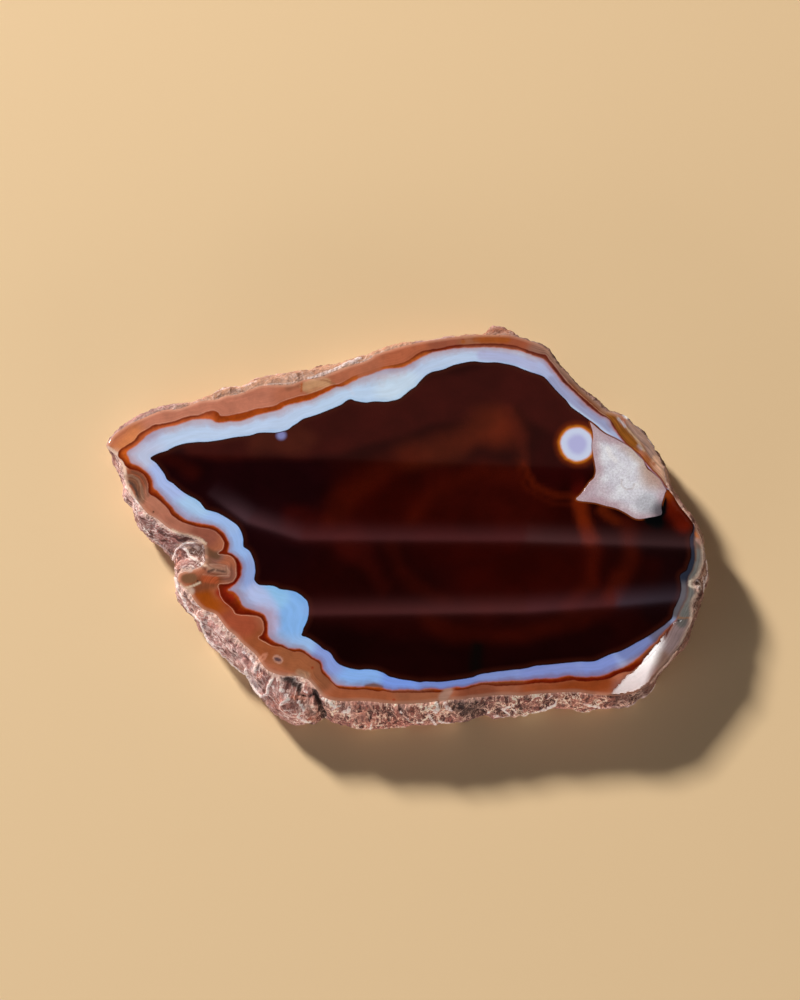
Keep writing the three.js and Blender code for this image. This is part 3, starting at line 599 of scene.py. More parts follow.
# %% Draw the outer edge of the rust line
RUST = [
    (-72.2, 14.4), (-72, 15.9), (-70.3, 17.3), (-68.3, 18.7), (-67.3, 20.3), (-65, 21.9), (-63.5, 22.9),
    (-61.5, 23.2), (-58.2, 24), (-55.1, 25.2), (-52.2, 25.6), (-50.5, 26.4), (-48.6, 26.8), (-47.3, 26.3),
    (-46.6, 25.4), (-44.4, 25.5), (-41.7, 26.1), (-39.8, 26.6), (-37.7, 27.3), (-35.6, 27.6), (-32.8, 28.2),
    (-31.6, 29), (-30, 29.7), (-28.2, 30.3), (-26.6, 30.8), (-25, 31.1), (-23.4, 31.7), (-21.6, 32.4),
    (-20, 33.2), (-18.5, 33.8), (-16.6, 34.2), (-14.8, 35.2), (-13, 36.4), (-11.1, 37.1), (-8.5, 38),
    (-6.3, 38.8), (-3.7, 39.3), (-1.3, 39.8), (0.6, 40.6), (2.4, 41.9), (4.3, 43.2), (6.9, 43.8), (9.5, 44.2),
    (12.1, 44.9), (16.1, 45.2), (19.8, 45.4), (23.5, 45.4), (26.1, 45.2), (28.5, 44.8), (30.3, 44.1),
    (32.1, 43.4), (34.5, 42.6), (36.1, 42.2), (37, 40.8), (38.5, 38.8), (40, 36.5), (41.2, 34.8),
    (42.4, 33.4), (43.9, 31.7), (45.7, 30), (47.4, 28.3), (49.4, 26.3), (51.4, 24.9), (52.8, 23.3),
    (53.9, 21), (55.6, 18.5), (57.8, 16.3), (59.3, 14.9), (60.8, 12.8), (62, 11.2), (63.5, 9.6), (64.7, 8),
    (65.9, 6.2), (67.5, 5.7), (68.6, 4.2), (69.6, 2.2), (70.9, 0.4), (72.1, -1.8), (72.6, -4.5),
    (72.4, -6.5), (72.2, -8), (72.3, -10), (72.3, -12.5), (71.9, -14.5), (71.3, -16), (70.5, -17.1),
    (70.1, -18.5), (70.1, -20), (70, -21.6), (69.5, -23.5), (68.6, -25), (67.9, -26.5), (67.2, -28),
    (66.5, -29), (65.8, -29.6), (64.85, -31.1), (64.2, -32.5), (63.4, -33.8), (62.35, -35.1), (61.3, -36.35),
    (59.7, -37.95), (58.2, -39.2), (56.65, -40.4), (55.1, -41.6), (53.35, -41.85), (51.85, -42.35),
    (50.3, -43.1), (49.05, -43.6), (47.55, -43.85), (45.8, -44), (44.05, -44.2), (42.3, -44.1),
    (40.8, -43.85), (39.6, -44), (38.35, -44.25), (36.6, -44.5), (34.6, -44.6), (32.85, -44.5),
    (31.05, -44.75), (28.55, -45), (26.05, -45.2), (23.6, -45.3), (21.6, -45.3), (19.65, -45), (17.5, -45.3),
    (15.5, -45.9), (13.5, -46.3), (11.3, -46.5), (8.7, -46.9), (6, -46.9), (3, -47), (0, -46.95), (-2.6, -47),
    (-4.1, -46.8), (-5.35, -46.5), (-6.6, -46.7), (-8.3, -46.4), (-10.3, -46.15), (-12.3, -46.3),
    (-14.3, -46.1), (-15.55, -45.95), (-16.5, -45.65), (-17.55, -44.65), (-18.55, -43.6), (-19.55, -42.7),
    (-20.3, -41.9), (-20.6, -40.8), (-20.8, -39.75), (-21.6, -39.1), (-22.85, -38.45), (-23.85, -37.65),
    (-24.85, -36.9), (-26.1, -36.65), (-27.35, -36.65), (-28.6, -36.1), (-30.2, -35.45), (-32.15, -35.1),
    (-33.7, -34.3), (-34.7, -33.8), (-35.65, -33.1), (-35, -32.4), (-34.55, -31.6), (-34.45, -30.3),
    (-34.7, -29), (-35.5, -27.9), (-36.8, -27.4), (-38.3, -27.25), (-40.1, -27.15), (-41.5, -26.9),
    (-41.9, -26.1), (-42.45, -25.4), (-43.5, -24.5), (-44.55, -23.45), (-45.2, -22.4), (-45.5, -21.1),
    (-45.8, -20.15), (-45.6, -19.5), (-44.2, -19.35), (-42.65, -19), (-41.75, -17.9), (-41.5, -16.6),
    (-41.6, -15.2), (-41.75, -13.9), (-42.5, -12.5), (-43.85, -11.75), (-44.9, -11.6), (-46.15, -11.35),
    (-45.15, -10.4), (-44.8, -9.05), (-45.1, -7.85), (-46, -6.6), (-47.3, -5.4), (-48.85, -4.85),
    (-50.4, -4.6), (-52.2, -4.2), (-54, -3.65), (-55.55, -3.1), (-56.85, -2.3), (-58.2, -1.2), (-59, 0.15),
    (-60.1, 1.35), (-61.4, 2.6), (-62.5, 3.5), (-63.6, 4.05), (-64.15, 4.75), (-64.25, 6.4), (-64.4, 7.4),
    (-65.4, 9.3), (-67, 10.4), (-68.8, 10.9), (-70.3, 11.8), (-71, 13.2),
]
print("rust line:", len(RUST), "points")

# %% Draw the quartz patch
QUARTZ = [
    (47.05, 23.7), (48.6, 22.15), (49.85, 21.05), (51.1, 20.2), (52.7, 19.4), (54.25, 18.5), (56, 17.4),
    (57.3, 16.35), (58.3, 15.2), (59.25, 14.1), (60, 13.3), (60.3, 12.5), (60.9, 11.1), (61.9, 10.25),
    (63.1, 9.15), (64.1, 8.1), (64.9, 6.4), (65.5, 5.3), (65.1, 4.5), (64.8, 3.4), (64.3, 2), (64.1, 0.65),
    (64.2, -0.4), (64, -1.2), (62.95, -1.6), (61.4, -1.9), (59.9, -2.2), (58.35, -2.35), (57.1, -2.05),
    (55.9, -1.25), (54.4, -0.3), (52.6, 0.55), (50.1, 1.2), (47.8, 1.9), (46.5, 2.1), (42.9, 2.7),
    (44.2, 4.4), (45.5, 6.2), (46.4, 7.5), (47.5, 8.6), (48, 10.3), (47.9, 11.9), (47.6, 14.1), (47.4, 16.8),
    (47.6, 19.1), (47.5, 21.3), (47, 23.2),
]
print("quartz patch:", len(QUARTZ), "points")

# %% Smooth the drawn loops
SMOOTHING = 4


def smoothed(loop):
    """A closed loop of drawn points as a smooth curve."""
    drawn = np.array(loop)[None]
    return refine_round(drawn, SMOOTHING)[0]


middle_loop, pale_loop, rust_loop, quartz_loop = (smoothed(loop) for loop in (MIDDLE, PALE, RUST, QUARTZ))
print("smooth loops:", [len(loop) for loop in (middle_loop, pale_loop, rust_loop, quartz_loop)])

# %% Fill an outline with even triangles
FACE_SPACING = 0.38
THINNING = 3
FINE_INSIDE = 1.4
BASE_SPACING = 1.3
CLEAR = 0.55
ROW_RISE = math.sqrt(0.75)
TRIANGLES_INSIDE = 1
SAME_PLACE = 1e-7


def pattern_is_fine(points):
    """True outside the dark middle and near its border and the border of the quartz."""
    drawn = points + DRAWN_CENTRE
    near_quartz = np.abs(depth_inside(drawn, quartz_loop)) < FINE_INSIDE
    return (depth_inside(drawn, middle_loop) < FINE_INSIDE) | near_quartz


def fill(loops, spacing, is_fine=None):
    """Points and triangles that fill the first loop, thinned where the pattern is not fine.

    Every loop stays as a line of edges.
    """
    low = loops[0].min(axis=0)
    high = loops[0].max(axis=0)
    across = np.arange(low[0], high[0], spacing)
    up = np.arange(low[1], high[1], spacing * ROW_RISE)
    x, y = np.meshgrid(across, up)
    x[1::2] += spacing / 2
    grid = np.stack([x.ravel(), y.ravel()], axis=1)
    row, column = np.divmod(np.arange(len(grid)), len(across))
    inside = depth_inside(grid, loops[0]) > CLEAR * spacing
    if is_fine is not None:
        inside &= is_fine(grid) | ((row % THINNING == 0) & (column % THINNING == 0))
    grid = grid[inside]
    for loop in loops[1:]:
        grid = grid[np.abs(depth_inside(grid, loop)) > CLEAR * spacing]
    points = np.vstack([*loops, grid])
    edges = []
    start = 0
    for loop in loops:
        ring = start + np.arange(len(loop))
        edges += np.stack([ring, np.roll(ring, -1)], axis=1).tolist()
        start += len(loop)
    flat = [Vector(p) for p in points.tolist()]
    filled = delaunay_2d_cdt(flat, edges, [], TRIANGLES_INSIDE, SAME_PLACE)
    if len(filled[0]) != len(points):
        raise ValueError("two loops cross, or two points lie on each other")
    origin = [source[0] for source in filled[3]]
    return points, np.array([[origin[k] for k in face] for face in filled[2]])


face_points, face_triangles = fill(
    [rim_points[:COLUMNS, :2], shoulder[:, :2]], FACE_SPACING, pattern_is_fine
)
base_points, base_triangles = fill([rim_points[-COLUMNS:, :2]], BASE_SPACING)
print("face", len(face_points), "points; base", len(base_points), "points")

# %% [markdown]
# ## The ground edge
#
# All round, the polish turns down over a narrow rounding. At the lower right the maker ground away a chip:
# there the face falls off by a millimetre over four, first as a flat facet, which is what flashes in the
# light, then more steeply. The shoulder ring marks where either begins.

# %% Let the face fall off towards its edge
FACET_DROP = 0.45
FACET_LIP = 0.72
FACET_TILT = 0.17
FACET_BEND = 0.006
FACET_LIMIT = 0.85


def fallen(points):
    """Heights of face points: flat inside the shoulder, falling to the edge outside it.

    For the points that fall, also how far they are on the facet, their share of the way to the edge and
    their numbers.
    """
    edge = rim_points[:COLUMNS]
    top = shoulder[:, 2].max()
    outside = depth_inside(points, shoulder[:, :2]) < 0
    near = points[outside]
    from_edge = np.maximum(depth_inside(near, edge[:, :2]), 0)
    from_shoulder = np.maximum(-depth_inside(near, shoulder[:, :2]), 0)
    width = from_shoulder + from_edge
    share = from_shoulder / width
    drop = top - edge[nearest(near, edge), 2]
    tilt = np.minimum(FACET_TILT, FACET_LIMIT * drop / width)
    facet = tilt * from_shoulder + FACET_BEND * from_shoulder**2
    lip = np.maximum(share - FACET_LIP, 0) / (1 - FACET_LIP)
    facet += (drop - tilt * width - FACET_BEND * width**2) * lip**2
    on_facet = soft((drop - FACET_DROP / 2) / (FACET_DROP / 2))
    heights = np.full(len(points), top)
    heights[outside] = top - on_facet * facet - (1 - on_facet) * drop * share**2
    return heights, on_facet, share, np.flatnonzero(outside)


face_heights, on_facet, edge_share, fallen_points = fallen(face_points)
face_heights[:COLUMNS] = rim_points[:COLUMNS, 2]
face_heights[COLUMNS : 2 * COLUMNS] = shoulder[:, 2]
print("lowest point of the ground edge", round(float(face_heights.min()), 2), "mm")

# %% Join rim, face and base in one skin
TURN = [0, 2, 1]
face_shift = len(rim_points) - COLUMNS
base_shift = face_shift + len(face_points) - COLUMNS


def clockwise(points, triangles):
    """Triangles turned so that they run clockwise seen from above."""
    a, b, c = (points[triangles[:, k]] for k in range(3))
    turned = (b - a)[:, 0] * (c - a)[:, 1] - (b - a)[:, 1] * (c - a)[:, 0] > 0
    triangles = triangles.copy()
    triangles[turned] = triangles[turned][:, TURN]
    return triangles


def joined(triangles, shared, shift):
    """Triangles of a filled sheet in the numbers of the whole skin."""
    return np.where(triangles < COLUMNS, triangles + shared, triangles + shift)


face_ids = joined(clockwise(face_points, face_triangles), 0, face_shift)[:, TURN]
base_ids = joined(clockwise(base_points, base_triangles), len(rim_points) - COLUMNS, base_shift)
skin = np.vstack([
    rim_points,
    np.column_stack([face_points, face_heights])[COLUMNS:],
    np.column_stack([base_points, np.zeros(len(base_points))])[COLUMNS:],
])
rim_ids = grid_faces(ROWS, COLUMNS)
mesh = bpy.data.meshes.new("agate_slice_dressed")
mesh.from_pydata((skin * MM).tolist(), [], rim_ids.tolist() + face_ids.tolist() + base_ids.tolist())
kinds = np.repeat([1, 0, 2], [len(rim_ids), len(face_ids), len(base_ids)])
mesh.polygons.foreach_set("material_index", kinds.astype(np.int32))
mesh.polygons.foreach_set("use_smooth", np.ones(len(kinds), bool))
print("triangles in all:", len(rim_ids) * 2 + len(face_ids) + len(base_ids))

# %% Keep the edge of the face and the crease of the facet sharp
CREASED = 0.5


def ring_pairs(start, steps):
    """The pairs of points at some steps round a ring whose first point has the number start."""
    return {tuple(sorted((start + k, start + (k + 1) % COLUMNS))) for k in steps}


def sharp_pairs():
    """Pairs of points whose edge stays sharp: round the face, round the base and along the facet."""
    edge = rim_points[:COLUMNS]
    drop = shoulder[:, 2] - edge[nearest(shoulder, edge), 2]
    creased = np.flatnonzero(drop > FACET_DROP + CREASED * FACET_DROP).tolist()
    whole = range(COLUMNS)
    last = len(rim_points) - COLUMNS
    return ring_pairs(0, whole) | ring_pairs(len(rim_points), creased) | ring_pairs(last, whole)


wanted = sharp_pairs()
ends = np.empty(len(mesh.edges) * 2, int)
mesh.edges.foreach_get("vertices", ends)
sharp = [tuple(sorted(pair)) in wanted for pair in ends.reshape(-1, 2).tolist()]
mesh.attributes.new("sharp_edge", "BOOLEAN", "EDGE").data.foreach_set("value", sharp)
print("sharp edges:", sum(sharp))

# %% [markdown]
# The facet was ground by hand, but it flashes like one plane. Its normals are therefore set, not left to
# the triangles: one tilt over the part that flashes, and a growing tilt where the photograph shows it
# turning dull, towards the outer edge and the upper end.

# %% Set the normals of the facet
FACET_ENDS = np.array([[51.8, -47.8], [69.8, -29.2]])
FACET_HEADING = math.radians(-48)
FLASH_SHARE = 1.24
FLASH_TURN = 1.9
FACET_SPREAD = 0.09
FLASH_EDGE = 0.93
FLASH_FOOT = 0.1
FLASH_TOP = 0.8
FLASH_LAP = 0.5
FLASH_RIM = np.array([[49.8, -47.8], [62.8, -33.5]])
FOOT_FADE = 2
RIM_FADE = 0.7
DULLEST = 1.5
JUST_GROUND = 0.02
WELL_GROUND = 0.5
UPWARD = Vector((0.0, 0.0, 1.0))


def facet_normal(slope):
    """The upward normal of a facet that falls away along its heading with a slope."""
    return Vector((slope * math.cos(FACET_HEADING), slope * math.sin(FACET_HEADING), 1.0)).normalized()


def facet_normals():
    """A normal for every point of the face; nought where the triangles decide."""
    normals = np.zeros((len(face_points), 3))
    way = FACET_ENDS[1] - FACET_ENDS[0]
    rim_way = FLASH_RIM[1] - FLASH_RIM[0]
    for k, share, weight in zip(fallen_points, edge_share, on_facet):
        place = face_points[k] + DRAWN_CENTRE
        along = (place - FACET_ENDS[0]) @ way / (way @ way)
        offset = place - FLASH_RIM[0]
        inward = (rim_way[0] * offset[1] - rim_way[1] * offset[0]) / np.hypot(*rim_way)
        ends = (share + FLASH_TURN * along - FLASH_SHARE, FLASH_FOOT - along * FOOT_FADE, inward * RIM_FADE)
        slope = FACET_TILT + FACET_SPREAD * min(max(0.0, *ends), DULLEST)
        if inward > FLASH_LAP and weight > JUST_GROUND:
            normals[k] = UPWARD
        elif along > FLASH_TOP and weight > JUST_GROUND:
            normals[k] = facet_normal(slope * weight)
        elif weight > WELL_GROUND and share < FLASH_EDGE:
            normals[k] = facet_normal(slope)
    return normals


def loop_normals(normals):
    """The normals of the face handed to the corners of the skin; all other corners keep their own."""
    corners = corners_of(mesh)
    on_face = slice(rim_ids.size, rim_ids.size + face_ids.size)
    ids = corners[on_face]
    handed = np.zeros((len(corners), 3))
    handed[on_face] = normals[np.where(ids < COLUMNS, ids, ids - face_shift)]
    return handed


normals_of_facet = facet_normals()
print("normals set on", int((normals_of_facet[:, 2] > 0).sum()), "points of the facet")

# %% Store the depths on the points of the stone
UNROLLED_RADIUS = 66.0


def on_bark(name):
    """The numbers that the relief kept on the rim, with nought for the face and the base."""
    numbers = np.empty(len(rim_points))
    relieved.attributes[name].data.foreach_get("value", numbers)
    return np.append(numbers, np.zeros(len(skin) - len(numbers)))


drawn = skin[:, :2] + DRAWN_CENTRE
depths = {
    "to_edge": depth_inside(drawn, rim_points[:COLUMNS, :2] + DRAWN_CENTRE),
    "to_rust": depth_inside(drawn, rust_loop),
    "to_pale": depth_inside(drawn, pale_loop),
    "to_middle": depth_inside(drawn, middle_loop),
    "to_quartz": depth_inside(drawn, quartz_loop),
    "height": on_bark("height"),
    "down": np.maximum(0, skin[:, 2].max() - skin[:, 2]),
    "carve": on_bark("carve"),
}
for name, depth in depths.items():
    store(mesh, name, depth)
turn = np.arange(len(rim_points)) % COLUMNS * (2 * math.pi / COLUMNS)
unrolled = np.zeros((len(skin), 3))
unrolled[: len(turn), :2] = np.stack([np.cos(turn), np.sin(turn)], axis=1) * UNROLLED_RADIUS
unrolled[:, 2] = depths["down"]
store(mesh, "unrolled", unrolled, "FLOAT_VECTOR", "vector")
print({name: round(float(depth.max()), 1) for name, depth in depths.items()})

# %% [markdown]
# ## Washes of colour
#
# Along each layer the colour changes slowly: salmon turns to amber, white to blue. A wash is a ground
# colour with soft strokes laid over it, like thin paint. Each stroke has a path, a reach, a softness, a
# colour and, unless it covers fully, a strength, and the result is stored on the points as a colour of its
# own. Three plain shares are drawn in the same way: how striped the outer layer is, where cream lies along
# the rust line, and where the rust line fades.

# %% Name the colours and draw the broad strokes
def tint(red, green, blue):
    """A screen colour of 0 to 255 as linear light."""
    shares = np.array([red, green, blue]) / 255
    return np.where(shares < 0.04045, shares / 12.92, ((shares + 0.055) / 1.055) ** 2.4)


def wash(points, ground, strokes, fade=1.0):
    """The ground colour with the strokes laid over it in turn."""
    colours = np.tile(tint(*ground), (len(points), 1))
    for path, reach, softness, colour, *strength in strokes:
        share = math.prod(strength) * stroke_share(points, path, reach, softness) ** fade
        colours += share[:, None] * (tint(*colour) - colours)
    return np.column_stack([colours, np.ones(len(points))])


SALMON = (176, 104, 76)
SLATE = (58, 62, 68)

OUTER_STROKES = [
    ([(-72, 14.5), (-67, 20)], 1.5, 3, (214, 132, 84)),
    ([(-62, 23.5), (-50, 27)], 2.0, 5, (193, 124, 101)),
    ([(-46, 27), (-34, 30)], 2.0, 4, (192, 122, 99)),
    ([(-30, 31), (-25, 32.5)], 1.5, 4, (178, 108, 82)),
    ([(-24, 33.2), (-20, 34.4)], 1.2, 1.2, (192, 138, 101), 0.9),
    ([(-29.5, 33.2), (-26, 34.4)], 0.3, 1.2, (154, 94, 70), 0.9),
    ([(-21, 36.2), (-15, 38)], 0.3, 1, (140, 88, 60), 0.9),
    ([(-16, 36.8), (-4, 40.8)], 2.0, 4, (178, 106, 78)),
    ([(-2, 41.2), (6, 44)], 2.0, 4, (177, 99, 69)),
    ([(9, 45.4), (13, 46.2)], 1.5, 3, (152, 84, 62)),
    ([(17, 46.2), (22, 46.4)], 1.5, 3, (160, 100, 71)),
    ([(27, 46), (31, 45)], 1.5, 3, (154, 82, 56)),
    ([(20, 46.4), (26, 46.5)], 0.4, 1.2, (160, 78, 24), 0.8),
    ([(34, 43.4), (37, 41)], 1.0, 3, (140, 100, 86)),
    ([(38.5, 39.5), (42, 35)], 1.0, 3, (128, 94, 82)),
    ([(44, 33), (49, 27.8)], 1.0, 3, (114, 66, 40)),
    ([(51, 26), (53, 24)], 0.8, 2, (132, 90, 66)),
    ([(55, 21), (58, 17)], 0.8, 1.6, (134, 78, 28)),
    ([(57.5, 21), (61, 17.5), (64, 13)], 1.0, 2.0, (146, 104, 78), 0.9),
    ([(61, 13.6), (63, 11.2)], 0.6, 1.2, (150, 88, 48)),
    ([(63.6, 12.5), (65.5, 8)], 0.8, 1.6, (186, 142, 118)),
    ([(72.4, -6), (72.5, -11)], 0.8, 3, (112, 94, 86)),
    ([(72, -14), (71, -19)], 1.2, 3, SLATE, 1.0),
    ([(71.5, -20), (69, -26)], 1.2, 3, (98, 98, 104)),
    ([(72.9, -14), (72.2, -18)], 0.1, 0.6, (150, 138, 124), 0.8),
    ([(70, -21.5), (69.6, -27)], 0.2, 0.6, (140, 128, 120), 0.6),
    ([(68, -31), (63, -38)], 1.6, 2.4, (160, 138, 140)),
    ([(62.5, -38.6), (57, -43.6)], 1.4, 2.0, (150, 118, 106)),
    ([(60, -42), (52, -46)], 1.0, 2, (150, 96, 84)),
    ([(48, -44.5), (38, -46.5)], 1.0, 3, (146, 68, 32)),
    ([(35, -46.5), (29, -47)], 1.0, 3, (150, 76, 44)),
    ([(26, -47.2), (23, -47.2)], 1.0, 3, (158, 92, 66)),
    ([(20, -47.2), (15, -47.4)], 1.0, 3, (136, 74, 52)),
    ([(8, -48), (-2, -48.4)], 1.0, 3, (156, 94, 66)),
    ([(-5, -48.4), (-16, -48)], 1.0, 3, (165, 92, 60)),
    ([(-20, -44), (-22, -41)], 1.0, 3, (146, 88, 60)),
    ([(-25, -40), (-31, -37)], 1.5, 3, (160, 95, 62)),
    ([(-34, -35.5), (-37, -33)], 1.5, 3, (158, 86, 52)),
    ([(-39, -30), (-43, -27)], 1.5, 3, (164, 80, 54)),
    ([(-44.5, -25), (-46, -25)], 0.8, 2, (166, 82, 46)),
    ([(-47.5, -25), (-50, -21.5)], 0.7, 3.6, (160, 76, 20)),
    ([(-45.5, -21.5), (-43, -24)], 0.6, 1.2, (146, 42, 22), 0.9),
    ([(-43.5, -17), (-47, -16.5)], 1.2, 2.0, (142, 90, 75)),
    ([(-47, -18.5), (-51, -19.5)], 1.0, 2.0, (134, 74, 48)),
    ([(-46, -12), (-48, -13.5)], 0.6, 1.6, (146, 98, 84)),
    ([(-49, -6.6), (-53, -5.5)], 1.5, 3, (148, 86, 70)),
    ([(-56, -4.4), (-60, -1.5)], 1.5, 3, (176, 112, 92)),
    ([(-62, 1.5), (-65, 4)], 1.2, 2.4, (184, 120, 98)),
    ([(-67, 7.5), (-69, 10)], 1.2, 2.4, (156, 86, 60)),
    ([(-71, 12), (-73, 15)], 0.8, 1.6, (214, 152, 122)),
]

